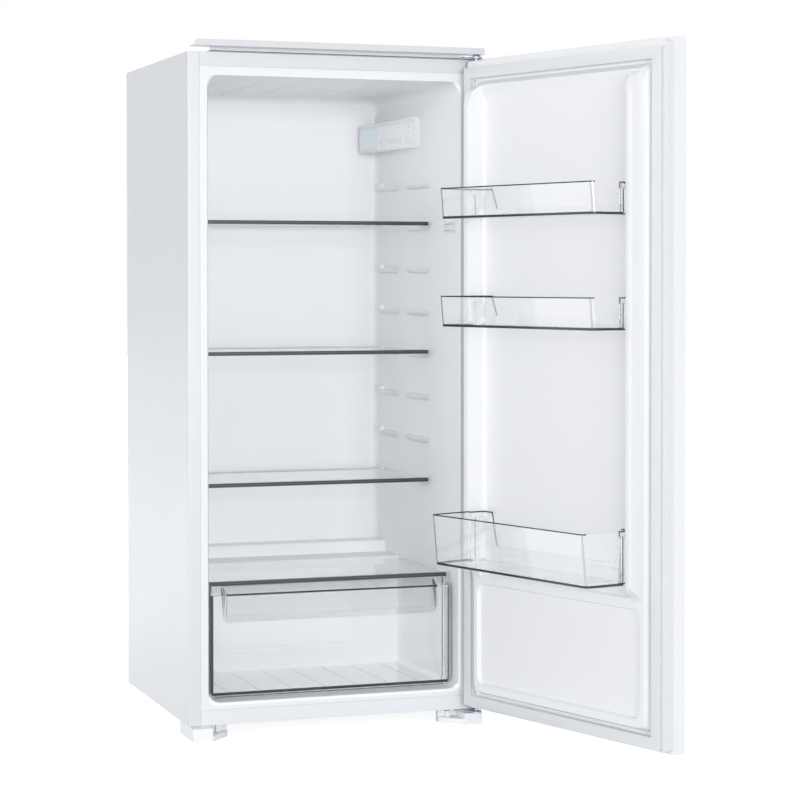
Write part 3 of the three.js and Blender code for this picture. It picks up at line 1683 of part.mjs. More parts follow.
function dischargePipe(height, y) {
  const out = compressor.centreX + canReach() + touchGap;
  const reach = out + pipe.rise;
  const end = condenser.bottom + (condenserPasses - 1) * passPitch;
  const endX = condenserPasses % 2 === 0 ? -1 : 1;
  const tubeEnd = endX * (condenser.halfWidth - passPitch / 2);
  const side = Math.sign(tubeEnd) * (halfWidth - cabinet.rearHem - 2 * pipe.radius);
  return tubeAlong(rounded([
    new THREE.Vector3(out, compressor.centreY, height),
    new THREE.Vector3(reach, compressor.centreY, height),
    new THREE.Vector3(reach, y, height),
    new THREE.Vector3(reach, y, chamber.ceiling + pipe.bend),
    new THREE.Vector3(side, y, chamber.ceiling + pipe.bend),
    new THREE.Vector3(side, y, end),
    new THREE.Vector3(tubeEnd + Math.sign(tubeEnd) * touchGap, y, end),
  ], pipe.bend), condenser.tubeRadius);
}

function suctionPipe(height) {
  const out = compressor.centreX + canReach() + touchGap;
  const x = out + pipe.rise / 2;
  const nearY = compressor.centreY - pipe.rise;
  return tubeAlong(rounded([
    new THREE.Vector3(out, nearY, height - pipe.rise),
    new THREE.Vector3(x + pipe.bend, nearY, height - pipe.rise),
    new THREE.Vector3(x + pipe.bend, nearY, chamber.ceiling - touchGap),
  ], pipe.bend), pipe.radius);
}

function filterDrier(inletX, y) {
  const low = condenser.bottom - pipe.drierLength - pipe.bend;
  const points = [
    [0, low], [pipe.neckRadius, low], [pipe.neckRadius, low + pipe.neckLength],
    [pipe.drierRadius, low + 2 * pipe.neckLength],
    [pipe.drierRadius, low + pipe.drierLength - 2 * pipe.neckLength],
    [pipe.neckRadius, low + pipe.drierLength - pipe.neckLength],
    [pipe.neckRadius, low + pipe.drierLength], [0, low + pipe.drierLength],
  ].map(([r, z]) => new THREE.Vector2(r, z));
  return toSolid(new THREE.LatheGeometry(points, 2 * discSteps).rotateX(Math.PI / 2).translate(inletX, y, 0));
}

// Door, built closed and swung open about its hinge pins

function doorGroup() {
  const swing = new THREE.Group();
  swing.position.set(door.pivotX, door.pivotY, 0);
  swing.rotation.z = THREE.MathUtils.degToRad(door.openDegrees);
  refrigerator.add(swing);
  const closed = new THREE.Group();
  closed.position.set(-door.pivotX, -door.pivotY, 0);
  swing.add(closed);
  return closed;
}

function doorPanel() {
  const sheet = cabinet.sheet;
  const body = toSolid(block(-halfWidth, halfWidth, door.frontFace, door.seam, door.bottom, door.top));
  const hollow = block(-halfWidth + sheet, halfWidth - sheet, door.frontFace + sheet,
    door.seam - sheet, door.bottom + sheet, door.top - sheet);
  const mouth = block(-halfWidth + door.hem, halfWidth - door.hem, door.seam - overrun,
    door.seam + overrun, door.bottom + door.hem, door.top - door.hem);
  return cut(body, [hollow, mouth]);
}

// The dyke's silhouette seen from the side: a long curve at the top, an S at the foot
function dykeProfile(shrink) {
  const face = dyke.face - shrink;
  const edge = field.panelFace - liner.wall;
  const low = dyke.bottomEnd + shrink;
  const high = dyke.bottomStart + shrink;
  const shape = new THREE.Shape();
  shape.moveTo(edge, low);
  shape.lineTo(field.edgeFace - shrink, low);
  shape.bezierCurveTo(field.edgeFace - shrink, low + dykeForm.footTurn,
    face, high - dykeForm.footTurn, face, high);
  shape.lineTo(face, dyke.topStart);
  shape.quadraticCurveTo(face, dyke.topEnd - shrink, field.edgeFace - shrink, dyke.topEnd - shrink);
  shape.lineTo(edge, dyke.topEnd - shrink);
  return across(shape, -halfWidth, halfWidth, profileSteps);
}

function dykeBar(side, shrink) {
  const radius = dyke.radius;
  const face = dyke.face - shrink;
  const outer = dyke.outer - shrink;
  const inner = dyke.inner + shrink;
  const shape = new THREE.Shape();
  shape.moveTo(side * (field.edgeHalfWidth - shrink), field.edgeFace - shrink);
  shape.lineTo(side * outer, face - radius);
  shape.quadraticCurveTo(side * outer, face, side * (outer - radius), face);
  shape.lineTo(side * (inner + radius), face);
  shape.quadraticCurveTo(side * inner, face, side * inner, face - radius);
  shape.lineTo(side * (field.recessHalfWidth + shrink), field.panelFace - shrink);
  shape.lineTo(side * (field.recessHalfWidth + shrink), door.rimFace - shrink - overrun);
  shape.lineTo(side * (field.edgeHalfWidth - shrink), door.rimFace - shrink - overrun);
  const bar = toSolid(upright(shape, dyke.bottomEnd - overrun, dyke.topEnd + overrun));
  return bar.intersect(toSolid(dykeProfile(shrink)));
}

function frameRing(y, halfSpan, bottom, top) {
  return sectionRing(y, halfSpan, bottom, top, field.cornerRadius);
}

// A shallow pan pressed into the field
function recess(halfSpan, bottom, top, topSlope, shrink) {
  const floor = field.panelFace - shrink;
  const slope = field.recessSlope;
  const rise = field.edgeFace - field.panelFace;
  const mouth = field.edgeFace + rise;
  const spread = 2 * slope;
  return loft([
    frameRing(floor, halfSpan - slope + shrink, bottom + slope - shrink, top - topSlope + shrink),
    frameRing(mouth, halfSpan - slope + spread + shrink, bottom + slope - spread - shrink,
      top + topSlope + shrink),
  ], flattenXZ);
}

// The liner's raised body, shrunk by a wall for its inner face
function doorField(shrink) {
  const rimEdge = halfWidth - door.rimInset - shrink;
  const rim = inward(
    roundedRectangle(-rimEdge, rimEdge, rimBottom + shrink, door.rimTop - shrink,
      doorForm.rimRadius - shrink),
    door.seam + touchGap - (shrink > 0 ? overrun : 0),
    door.rimFace - shrink,
  );
  const base = loft([
    frameRing(door.rimFace - shrink - overrun, field.footHalfWidth - shrink,
      field.footBottom + shrink, field.footTop - shrink),
    frameRing(door.rimFace - shrink, field.footHalfWidth - shrink,
      field.footBottom + shrink, field.footTop - shrink),
    frameRing(field.edgeFace - shrink, field.edgeHalfWidth - shrink,
      field.edgeBottom + shrink, field.edgeTop - shrink),
  ], flattenXZ);
  const body = cut(join([rim, base]), [
    recess(field.recessHalfWidth, field.recessBottom, field.recessTop, field.recessTopSlope, shrink),
    recess(field.lowerHalfWidth, field.lowerBottom, field.lowerTop, field.recessSlope, shrink),
  ]);
  return body.add(dykeBar(-1, shrink)).add(dykeBar(1, shrink));
}

function lugBlocks() {
  const lugs = [];
  for (const row of binRows) {
    const top = row.bottom + row.height - lug.topBelowRim;
    for (const side of [-1, 1]) {
      const edges = [side * lug.inner, side * dyke.inner].sort((a, b) => a - b);
      lugs.push(block(...edges, lug.rear, lug.front, top - lug.height, top));
    }
  }
  return lugs;
}

function hingeHoles() {
  const radius = hinge.bushRadius + touchGap;
  return [
    disc(door.pivotX, door.pivotY, radius, door.rimTop - hinge.bushDepth - 2 * touchGap,
      door.top + overrun),
    disc(door.pivotX, door.pivotY, radius, door.bottom - overrun,
      rimBottom + hinge.bushDepth + 2 * touchGap),
  ];
}

function doorLiner() {
  const raised = doorField(0).add(join(lugBlocks()));
  return cut(raised.subtract(doorField(door.linerWall)), hingeHoles());
}

function doorFoam() {
  const inside = cabinet.sheet + touchGap;
  const tank = block(-halfWidth + inside, halfWidth - inside, door.frontFace + inside,
    door.seam - inside, door.bottom + inside, door.top - inside);
  const neck = door.hem + touchGap;
  const neckBlock = block(-halfWidth + neck, halfWidth - neck, door.seam - 2 * inside,
    door.seam + 2 * inside, door.bottom + neck, door.top - neck);
  const clear = door.linerWall + touchGap;
  const filled = join([tank, neckBlock]).add(doorFieldFrom(clear));
  return cut(filled, hingeHoles());
}

// The field's inner body, kept behind the seam
function doorFieldFrom(clear) {
  const front = block(-halfWidth, halfWidth, door.frontFace, door.seam + touchGap,
    -overrun, cabinet.height + overrun);
  return cut(doorField(clear), [front]);
}

// A frame of one section with mitred corners
function mitredFrame(section, innerHalf, innerBottom, innerTop) {
  const corners = [
    [1, innerTop, 1], [-1, innerTop, 1], [-1, innerBottom, -1], [1, innerBottom, -1],
  ];
  const rings = corners.map(([sx, z, sz]) => section.map(([out, y]) => (
    new THREE.Vector3(sx * (innerHalf + out), y, z + sz * out))));
  const count = section.length;
  const index = [];
  for (let corner = 0; corner < corners.length; corner += 1) {
    const row = corner * count;
    const next = ((corner + 1) % corners.length) * count;
    for (let i = 0; i < count; i += 1) {
      const j = (i + 1) % count;
      index.push(row + i, row + j, next + j, row + i, next + j, next + i);
    }
  }
  const geometry = new THREE.BufferGeometry();
  const positions = rings.flat().flatMap((p) => [p.x, p.y, p.z]);
  geometry.setAttribute('position', new THREE.Float32BufferAttribute(positions, 3));
  geometry.setIndex(index);
  return signedVolume(geometry) < 0 ? insideOut(geometry) : geometry;
}

function doorGasket() {
  const back = door.rimFace + touchGap;
  const front = -touchGap;
  const g = gasket;
  const waistLow = back + g.base + g.waistStep;
  const waistHigh = front - g.base;
  return mitredFrame([
    [0, back], [g.width, back], [g.width, back + g.base], [g.width - g.waist, waistLow],
    [g.width - g.waist, waistHigh], [g.width, front - g.base + g.waistStep], [g.width, front - g.lean],
    [g.width / 2, front], [0, front], [0, front - g.base + g.waistStep], [g.waist, waistHigh],
    [g.waist, waistLow], [0, back + g.base],
  ], g.innerHalfWidth, g.innerBottom, g.innerTop);
}

function addDoor(parent) {
  addMesh(parent, 'door_panel', toGeometry(doorPanel()), 'paintedSteel');
  addMesh(parent, 'door_liner', toGeometry(doorLiner()), 'linerPlastic');
  addMesh(parent, 'door_foam', toGeometry(doorFoam()), 'foam');
  addMesh(parent, 'door_gasket', doorGasket(), 'gasket');
  const upper = bush(door.rimTop + touchGap, 1);
  const lower = bush(rimBottom - touchGap, -1);
  addMesh(parent, 'hinge_bush_top', toGeometry(upper), 'whitePlastic');
  addMesh(parent, 'hinge_bush_bottom', toGeometry(lower), 'whitePlastic');
}

// Door bins

// A bin's outline from above, drawn in by its wall for the inside
function binRing(inset, front, z) {
  const radius = bin.frontRadius - inset;
  const half = bin.frontHalfWidth - inset;
  const right = [
    [bin.rearHalfWidth - inset, bin.rear + inset],
    [bin.rearHalfWidth - inset, bin.shoulder + inset],
    [bin.shoulderHalfWidth - inset, bin.shoulder + inset],
  ];
  for (let step = 0; step <= bendSteps; step += 1) {
    const angle = (step / bendSteps) * (Math.PI / 2);
    right.push([half - radius * (1 - Math.cos(angle)), front - inset - radius * (1 - Math.sin(angle))]);
  }
  const left = right.map(([x, y]) => [-x, y]).reverse();
  return [...right, ...left].map(([x, y]) => new THREE.Vector3(x, y, z));
}

function binRibs(row) {
  const ribs = [];
  const low = row.bottom + bin.wall / 2;
  for (let i = 0; i < binRibCount; i += 1) {
    const x = (i - (binRibCount - 1) / 2) * binRibPitch;
    ribs.push(block(x - bin.ribWidth / 2, x + bin.ribWidth / 2, bin.ribRear,
      row.bottomFront - bin.ribFront, low, row.bottom + bin.wall + bin.ribHeight));
  }
  return ribs;
}

function doorBin(row) {
  const top = row.bottom + row.height;
  const lugTop = top - lug.topBelowRim + touchGap;
  const outer = toSolid(loft([
    binRing(0, row.bottomFront, row.bottom),
    binRing(0, row.topFront, top),
  ], flattenXY));
  const wideRow = (z) => row.bottomFront + ((row.topFront - row.bottomFront) * (z - row.bottom)) / row.height;
  const hollow = toSolid(loft([
    binRing(bin.wall, wideRow(row.bottom + bin.wall), row.bottom + bin.wall),
    binRing(bin.wall, wideRow(top + overrun), top + overrun),
  ], flattenXY));
  const pockets = [];
  const pocketWalls = [];
  for (const side of [-1, 1]) {
    const inner = lug.inner - lug.clearance;
    const edges = [side * inner, side * halfWidth].sort((a, b) => a - b);
    const wallEdges = [side * (inner - bin.wall), side * halfWidth].sort((a, b) => a - b);
    pockets.push(block(...edges, lug.rear - lug.clearance, lug.front + lug.clearance,
      row.bottom - overrun, lugTop));
    pocketWalls.push(block(...wallEdges, 0, lug.front + lug.clearance + bin.wall,
      row.bottom - overrun, lugTop + bin.wall));
  }
  const lowCut = inward(outline([
    [-bin.lowCutBottom, row.bottom + row.backHeight],
    [bin.lowCutBottom, row.bottom + row.backHeight],
    [bin.lowCutTop, top + overrun],
    [-bin.lowCutTop, top + overrun],
  ]), -overrun, bin.rear + bin.wall + overrun);
  const shell = outer.subtract(cut(hollow, pocketWalls));
  return cut(shell, [...pockets, lowCut]).add(join(binRibs(row)));
}

function addBins(parent) {
  for (const row of binRows) {
    addMesh(parent, row.name, toGeometry(doorBin(row)), 'clearPlastic');
  }
}

addCabinetShell();
addLiner();
addInsulation();
addShelves();
addCrisperCover();
addDrawer();
addControls();
addLightSwitch();
addHinges();
addStripAndFeet();
addMachinery();
addCoolingCircuit();
const closedDoor = doorGroup();
addDoor(closedDoor);
addBins(closedDoor);

export default refrigerator;
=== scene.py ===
"""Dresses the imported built-in refrigerator: finishes, softened edges, small fittings, studio and camera."""
import json
import math

import bpy
from bpy.props import FloatProperty, FloatVectorProperty, IntProperty, PointerProperty
from mathutils import Matrix, Vector


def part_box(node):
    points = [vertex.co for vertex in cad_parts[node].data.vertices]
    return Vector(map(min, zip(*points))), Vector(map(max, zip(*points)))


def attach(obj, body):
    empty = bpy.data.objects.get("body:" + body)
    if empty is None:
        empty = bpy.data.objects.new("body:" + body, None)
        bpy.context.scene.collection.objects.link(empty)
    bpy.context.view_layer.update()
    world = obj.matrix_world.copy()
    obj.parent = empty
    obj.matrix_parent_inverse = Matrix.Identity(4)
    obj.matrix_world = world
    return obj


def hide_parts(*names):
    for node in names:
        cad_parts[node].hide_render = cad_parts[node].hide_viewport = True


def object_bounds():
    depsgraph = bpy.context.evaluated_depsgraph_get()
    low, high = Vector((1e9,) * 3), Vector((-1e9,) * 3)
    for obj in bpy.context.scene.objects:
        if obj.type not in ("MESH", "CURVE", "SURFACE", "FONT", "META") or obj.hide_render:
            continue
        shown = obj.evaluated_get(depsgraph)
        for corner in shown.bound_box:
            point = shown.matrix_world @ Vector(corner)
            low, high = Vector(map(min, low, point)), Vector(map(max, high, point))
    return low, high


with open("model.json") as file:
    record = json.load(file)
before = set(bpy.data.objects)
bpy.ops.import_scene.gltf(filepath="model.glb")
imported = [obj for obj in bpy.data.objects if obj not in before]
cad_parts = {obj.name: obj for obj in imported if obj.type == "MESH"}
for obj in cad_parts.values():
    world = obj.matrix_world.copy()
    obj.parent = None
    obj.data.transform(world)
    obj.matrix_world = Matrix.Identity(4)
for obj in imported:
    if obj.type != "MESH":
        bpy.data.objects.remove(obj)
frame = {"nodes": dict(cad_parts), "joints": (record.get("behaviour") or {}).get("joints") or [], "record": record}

cad_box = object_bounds()

bl_info = {
    "name": "Built-in refrigerator",
    "version": (1, 0, 0),
    "blender": (4, 5, 0),
    "location": "3D View > Sidebar > Refrigerator",
    "description": "Finishes and small fittings for a built-in refrigerator",
    "category": "Object",
}

MM = 0.001
IMAGE_SIDE = 800

# Places closer than this, in metres, count as one
TOUCH = 1e-5
# Faces that meet at less than this, in degrees, shade as one round surface
ROUND_ANGLE = 32.0

# Where the photograph was taken from, in millimetres and pixels
CAMERA_PLACE = (-1273.5, -4062.7, 785.1)
CAMERA_YAW = 0.34607
CAMERA_PITCH = -0.02022
FOCAL_PIXELS = 2396.2
CENTRE_OFFSET = (37.9, -75.2)
SENSOR = 36.0

# Which body and which slot each carried-over node belongs to
BODY_OF = {node: body for body, nodes in frame["record"]["behaviour"]["bodies"].items() for node in nodes}
SLOT_OF = {part["node"]: part["material_slot"] for part in frame["record"]["subparts"]}

# The door's hinge axis and how far the door stands open
DOOR = next(joint for joint in frame["joints"] if joint["child"] == "door")
DOOR_PIVOT = Vector(DOOR["pos_m"])
DOOR_OPEN = math.radians(106.4)

# Each studio lamp's place, what it faces and its size, in metres
LAMPS = {
    "key": ((-0.6, -9.0, 1.1), (0.0, 0.2, 0.6), (4.0, 2.0)),
    "side": ((-6.8, -5.6, 1.6), (0.1, 0.0, 0.6), (3.6, 3.0)),
    "rear": ((1.2, 4.6, 1.9), (0.0, 0.2, 0.6), (2.6, 2.6)),
    "left": ((-8.0, -1.6, 1.4), (0.0, 0.2, 0.6), (3.0, 2.6)),
    "ceiling": ((0.0, 0.14, 0.92), (0.0, 0.12, 1.2), (0.3, 0.2)),
}


def colour_property(name, description, default):
    return FloatVectorProperty(name=name, description=description, default=default,
                               subtype="COLOR", size=3, min=0.0, max=1.0)


def length_property(name, description, default):
    return FloatProperty(name=name, description=description, default=default,
                         unit="LENGTH", subtype="DISTANCE", min=0.0, precision=5)


def power_property(name, description, default):
    return FloatProperty(name=name, description=description, default=default,
                         unit="POWER", min=0.0, max=2000.0)


class FridgeColours(bpy.types.PropertyGroup):
    steel: colour_property("Steel", "Painted sheet of the cabinet", (0.67, 0.687, 0.714))
    # Painted light: a lighter copy of the steel colour that stands in for lamplight on the door's sheet
    door_steel: colour_property("Door steel", "Painted sheet of the door", (0.86, 0.87, 0.885))
    # Painted light: a lighter copy of the steel colour for the sheet under the compartment
    plinth_painted_light: colour_property("Plinth", "Painted sheet under the compartment", (0.76, 0.777, 0.8))
    liner: colour_property("Liner", "Moulded liner of the compartment", (0.92, 0.93, 0.945))
    # Painted shade: a darker copy of the liner's colour for the front rim that faces the lamps
    liner_rim: colour_property("Liner rim", "Front rim of the liner", (0.79, 0.8, 0.82))
    door_liner: colour_property("Door liner", "Moulded liner of the door", (0.862, 0.867, 0.881))
    # Painted shade: a darker copy of the door liner's colour for the flanks that face the lamps
    door_flank: colour_property("Door flank", "Upright flanks of the door's liner", (0.782, 0.787, 0.802))
    gasket: colour_property("Gasket", "Soft seal round the door", (0.74, 0.765, 0.785))
    white: colour_property("White plastic", "Feet and housings", (0.86, 0.87, 0.88))
    fascia: colour_property("Fascia", "Face of the control box", (0.93, 0.94, 0.95))
    # Also the painted shade of the small slots at the seal's corners
    printed: colour_property("Printed marks", "Marks on the control face", (0.36, 0.37, 0.39))
    strip: colour_property("Cover strip", "Strip along the top", (0.64, 0.65, 0.67))
    # Painted shadow: the dark gap under the cover strip's web
    gap_shadow: colour_property("Rubber", "Thin lip of the cover strip", (0.03, 0.03, 0.032))
    trim: colour_property("Shelf trim", "Dark strip on the front edge of a shelf", (0.02, 0.019, 0.017))
    trim_line: colour_property("Trim line", "Paler line along a shelf trim", (0.075, 0.072, 0.065))
    clear: colour_property("Clear plastic", "Drawer and door bins", (0.99, 0.992, 0.995))
    # Painted shade: the dark edges and outlines that clear plastic shows where it is seen edge-on
    edge_shade_colour: colour_property("Clear edge", "Dark edges of the clear plastic", (0.035, 0.035, 0.037))
    clear_grip: colour_property("Clear grip", "Face of the drawer's grip", (0.8, 0.8, 0.81))
    # Painted shade: the thin grey line that a door bin's clear upright corner shows
    corner_line: colour_property("Corner line", "Upright corners of the door bins", (0.6, 0.6, 0.61))
    glass: colour_property("Glass", "Shelf panes", (0.98, 0.992, 0.99))
    lens: colour_property("Lens", "Lamp cover", (0.86, 0.92, 0.97))
    zinc: colour_property("Zinc", "Hinge brackets", (0.35, 0.4, 0.45))
    galvanised: colour_property("Galvanised steel", "Compressor base and chamber", (0.55, 0.57, 0.58))
    black: colour_property("Black enamel", "Compressor and condenser", (0.012, 0.012, 0.014))
    copper: colour_property("Copper", "Refrigerant pipes", (0.75, 0.36, 0.22))
    foam: colour_property("Foam", "Insulation", (0.78, 0.66, 0.4))
    board: colour_property("Board", "Board of the lamp", (0.8, 0.83, 0.78))
    aluminium: colour_property("Aluminium", "Evaporator plate", (0.75, 0.76, 0.78))
    dark_plastic: colour_property("Dark plastic", "Relay cover and tray", (0.03, 0.031, 0.033))


class FridgeEdges(bpy.types.PropertyGroup):
    sheet: length_property("Sheet edge", "Radius of the folded steel edges", 0.0028)
    moulding: length_property("Moulding edge", "Radius of the moulded edges", 0.0010)
    clear: length_property("Clear edge", "Radius of the clear plastic edges", 0.0005)
    segments: IntProperty(name="Segments", description="Faces across a softened edge",
                          default=2, min=1, max=6)


class FridgeStage(bpy.types.PropertyGroup):
    floor: length_property("Floor", "Side of the floor", 40.0)
    dome: FloatProperty(name="Dome", description="Strength of the studio's soft surround",
                        default=0.6, min=0.0, max=2.0)
    key: power_property("Key", "Power of the large lamp beside the camera", 300.0)
    side: power_property("Side", "Power of the lamp at the left", 160.0)
    rear: power_property("Rear", "Power of the lamp behind the object", 66.0)
    left: power_property("Left", "Power of the lamp square to the cabinet's left side", 60.0)
    ceiling: power_property("Ceiling", "Power of the small lamp under the compartment's ceiling", 0.05)


# Tools that the makers share

def deselect():
    if bpy.context.object and bpy.context.object.mode != "OBJECT":
        bpy.ops.object.mode_set(mode="OBJECT")
    bpy.ops.object.select_all(action="DESELECT")


def make_active(piece):
    deselect()
    piece.select_set(True)
    bpy.context.view_layer.objects.active = piece


def keep_place_in_mesh(piece):
    make_active(piece)
    bpy.ops.object.transform_apply(location=True, rotation=True, scale=True)


def apply_modifier(piece, kind, **values):
    make_active(piece)
    bpy.ops.object.modifier_add(type=kind)
    modifier = piece.modifiers[-1]
    for key, value in values.items():
        setattr(modifier, key, value)
    bpy.ops.object.modifier_apply(modifier=modifier.name)


def smooth(piece, angle):
    make_active(piece)
    bpy.ops.object.shade_smooth_by_angle(angle=math.radians(angle))
    apply_modifier(piece, "WEIGHTED_NORMAL", keep_sharp=True, weight=50)


def merged_copy(node, name):
    """A copy of a CAD node with its loose triangles joined into plain faces."""
    source = frame["nodes"][node]
    piece = bpy.data.objects.new(name, source.data.copy())
    bpy.context.scene.collection.objects.link(piece)
    make_active(piece)
    bpy.ops.mesh.customdata_custom_splitnormals_clear()
    bpy.ops.object.mode_set(mode="EDIT")
    bpy.ops.mesh.select_all(action="SELECT")
    bpy.ops.mesh.remove_doubles(threshold=0.00002)
    bpy.ops.mesh.dissolve_limited(angle_limit=math.radians(0.4))
    bpy.ops.object.mode_set(mode="OBJECT")
    return piece


def edit(piece, mode="VERT"):
    make_active(piece)
    bpy.ops.object.mode_set(mode="EDIT")
    bpy.ops.mesh.select_mode(type=mode)


def leave_edit():
    bpy.ops.object.mode_set(mode="OBJECT")


def select_edges(piece, test):
    """Selects the edges whose two ends pass the test, and stays in edit mode."""
    edit(piece, "EDGE")
    bpy.ops.mesh.select_all(action="DESELECT")
    leave_edit()
    points = piece.data.vertices
    for line in piece.data.edges:
        first, second = (points[index].co for index in line.vertices)
        line.select = test(first, second)
    bpy.ops.object.mode_set(mode="EDIT")


def select_faces(piece, test):
    """Selects the faces whose centre and normal pass the test, and stays in edit mode."""
    edit(piece, "FACE")
    bpy.ops.mesh.select_all(action="DESELECT")
    leave_edit()
    for face in piece.data.polygons:
        face.select = test(face.center, face.normal)
    bpy.ops.object.mode_set(mode="EDIT")


def slice_at(piece, place, normal):
    """Adds an edge loop where a plane crosses the piece."""
    edit(piece)
    bpy.ops.mesh.select_all(action="SELECT")
    bpy.ops.mesh.bisect(plane_co=place, plane_no=normal)
    leave_edit()


def paint_faces(piece, index, test):
    for face in piece.data.polygons:
        if test(face.center, face.normal):
            face.material_index = index


def finish_piece(piece, body, slot, *materials):
    kept = [face.material_index for face in piece.data.polygons]
    piece.data.materials.clear()
    for material in materials:
        piece.data.materials.append(material)
    piece.data.polygons.foreach_set("material_index", kept)
    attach(piece, body)


def dress(node, *materials, width=0.0, angle=30.0, segments=None, shape=None, after=None, edge_slot=-1):
    """Stands a merged, softened copy in a CAD node's place."""
    piece = merged_copy(node, node + "_finished")
    if shape:
        shape(piece)
    if width:
        count = segments or bpy.context.scene.fridge_edges.segments
        apply_modifier(piece, "BEVEL", width=width, segments=count, limit_method="ANGLE",
                       angle_limit=math.radians(angle), material=edge_slot)
    if after:
        after(piece)
    smooth(piece, max(angle, ROUND_ANGLE))
    finish_piece(piece, BODY_OF[node], SLOT_OF[node], *materials)
    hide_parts(node)


def join_pieces(pieces):
    """Joins pieces into the first one."""
    deselect()
    for piece in pieces:
        piece.select_set(True)
    bpy.context.view_layer.objects.active = pieces[0]
    bpy.ops.object.join()


def moved_copies(piece, places):
    """Copies a piece to each place, joins the copies into it and keeps its first place."""
    copies = []
    for place in places:
        twin = bpy.data.objects.new(piece.name + "_copy", piece.data.copy())
        twin.data.transform(Matrix.Translation(place))
        bpy.context.scene.collection.objects.link(twin)
        copies.append(twin)
    join_pieces([piece, *copies])


def turned_head(name, place, radius, height, recess=0.5):
    """A round fastener head with a bevelled rim and a socket in its face."""
    deselect()
    bpy.ops.mesh.primitive_cylinder_add(vertices=24, radius=radius, depth=height, location=place)
    piece = bpy.context.object
    piece.name = name
    keep_place_in_mesh(piece)
    top = place[2] + height / 2
    select_edges(piece, lambda a, b: abs(a.z - top) < TOUCH and abs(b.z - top) < TOUCH)
    bpy.ops.mesh.bevel(offset=height * 0.35, segments=2, affect="EDGES")
    leave_edit()
    select_faces(piece, lambda centre, normal: normal.z > 0.99 and abs(centre.z - top) < TOUCH)
    bpy.ops.mesh.inset(thickness=radius * 0.3)
    bpy.ops.mesh.extrude_region_move(TRANSFORM_OT_translate={"value": (0.0, 0.0, -height * recess)})
    leave_edit()
    smooth(piece, 35.0)
    return piece


def rounded_bar(name, low, high, width, segments=2):
    """A bar between two corners with softened edges."""
    centre = [(a + b) / 2 for a, b in zip(low, high)]
    deselect()
    bpy.ops.mesh.primitive_cube_add(size=1.0, location=centre)
    piece = bpy.context.object
    piece.name = name
    piece.scale = [b - a for a, b in zip(low, high)]
    keep_place_in_mesh(piece)
    apply_modifier(piece, "BEVEL", width=width, segments=segments, limit_method="ANGLE",
                   angle_limit=math.radians(30.0))
    smooth(piece, 35.0)
    return piece


def turn_to(piece, matrix):
    """Turns and moves a finished mesh in one go."""
    piece.data.transform(matrix)
    piece.data.update()


def paint_node(node, material):
    data = frame["nodes"][node].data
    data.materials.clear()
    data.materials.append(material)


# Shader node groups

def new_group(name, inputs, outputs):
    group = bpy.data.node_groups.new(name, "ShaderNodeTree")
    for label, kind, default in inputs:
        socket = group.interface.new_socket(name=label, in_out="INPUT", socket_type=kind)
        socket.default_value = default
    for label, kind in outputs:
        group.interface.new_socket(name=label, in_out="OUTPUT", socket_type=kind)
    entry = group.nodes.new("NodeGroupInput")
    leave = group.nodes.new("NodeGroupOutput")
    return group, entry, leave


def math_node(tree, operation):
    node = tree.nodes.new("ShaderNodeMath")
    node.operation = operation
    return node


def noise_over_object(group, detail, stretch=None):
    """Noise laid over the object's own space, which a vector socket can stretch."""
    place = group.nodes.new("ShaderNodeTexCoord").outputs["Object"]
    if stretch is not None:
        stretched = group.nodes.new("ShaderNodeVectorMath")
        stretched.operation = "MULTIPLY"
        group.links.new(place, stretched.inputs[0])
        group.links.new(stretch, stretched.inputs[1])
        place = stretched.outputs[0]
    noise = group.nodes.new("ShaderNodeTexNoise")
    noise.inputs["Detail"].default_value = detail
    group.links.new(place, noise.inputs["Vector"])
    return noise


def swing(group, source, amount, middle=None):
    """Lets a value that runs from 0 to 1 swing round a middle one, which is 1 if no socket gives it."""
    centred = math_node(group, "SUBTRACT")
    centred.inputs[1].default_value = 0.5
    swung = math_node(group, "MULTIPLY_ADD")
    group.links.new(source, centred.inputs[0])
    group.links.new(centred.outputs[0], swung.inputs[0])
    group.links.new(amount, swung.inputs[1])
    if middle is None:
        swung.inputs[2].default_value = 1.0
    else:
        group.links.new(middle, swung.inputs[2])
    return swung.outputs[0]


def shade_colour(group, entry, leave, factor):
    """Sends the group's colour out, made lighter or darker by a factor."""
    shade = group.nodes.new("ShaderNodeVectorMath")
    shade.operation = "SCALE"
    group.links.new(entry.outputs["Colour"], shade.inputs[0])
    group.links.new(factor, shade.inputs["Scale"])
    group.links.new(shade.outputs[0], leave.inputs["Colour"])


def mottle_group():
    """Slow drift of a colour over a large surface."""
    group, entry, leave = new_group(
        "Colour Drift",
        [("Colour", "NodeSocketColor", (0.8, 0.8, 0.8, 1.0)), ("Scale", "NodeSocketFloat", 3.0),
         ("Amount", "NodeSocketFloat", 0.01)],
        [("Colour", "NodeSocketColor")],
    )
    noise = noise_over_object(group, 3.0)
    group.links.new(entry.outputs["Scale"], noise.inputs["Scale"])
    shade_colour(group, entry, leave, swing(group, noise.outputs["Fac"], entry.outputs["Amount"]))
    return group


def grain_group():
    """Fine moulded or sprayed texture: a roughness that varies and a height for a bump."""
    group, entry, leave = new_group(
        "Fine Grain",
        [("Scale", "NodeSocketFloat", 900.0), ("Roughness", "NodeSocketFloat", 0.4),
         ("Spread", "NodeSocketFloat", 0.06)],
        [("Roughness", "NodeSocketFloat"), ("Height", "NodeSocketFloat")],
    )
    fine = noise_over_object(group, 2.0)
    broad = noise_over_object(group, 2.0)
    broad.inputs["Scale"].default_value = 9.0
    group.links.new(entry.outputs["Scale"], fine.inputs["Scale"])
    varied = swing(group, broad.outputs["Fac"], entry.outputs["Spread"], entry.outputs["Roughness"])
    group.links.new(varied, leave.inputs["Roughness"])
    group.links.new(fine.outputs["Fac"], leave.inputs["Height"])
    return group


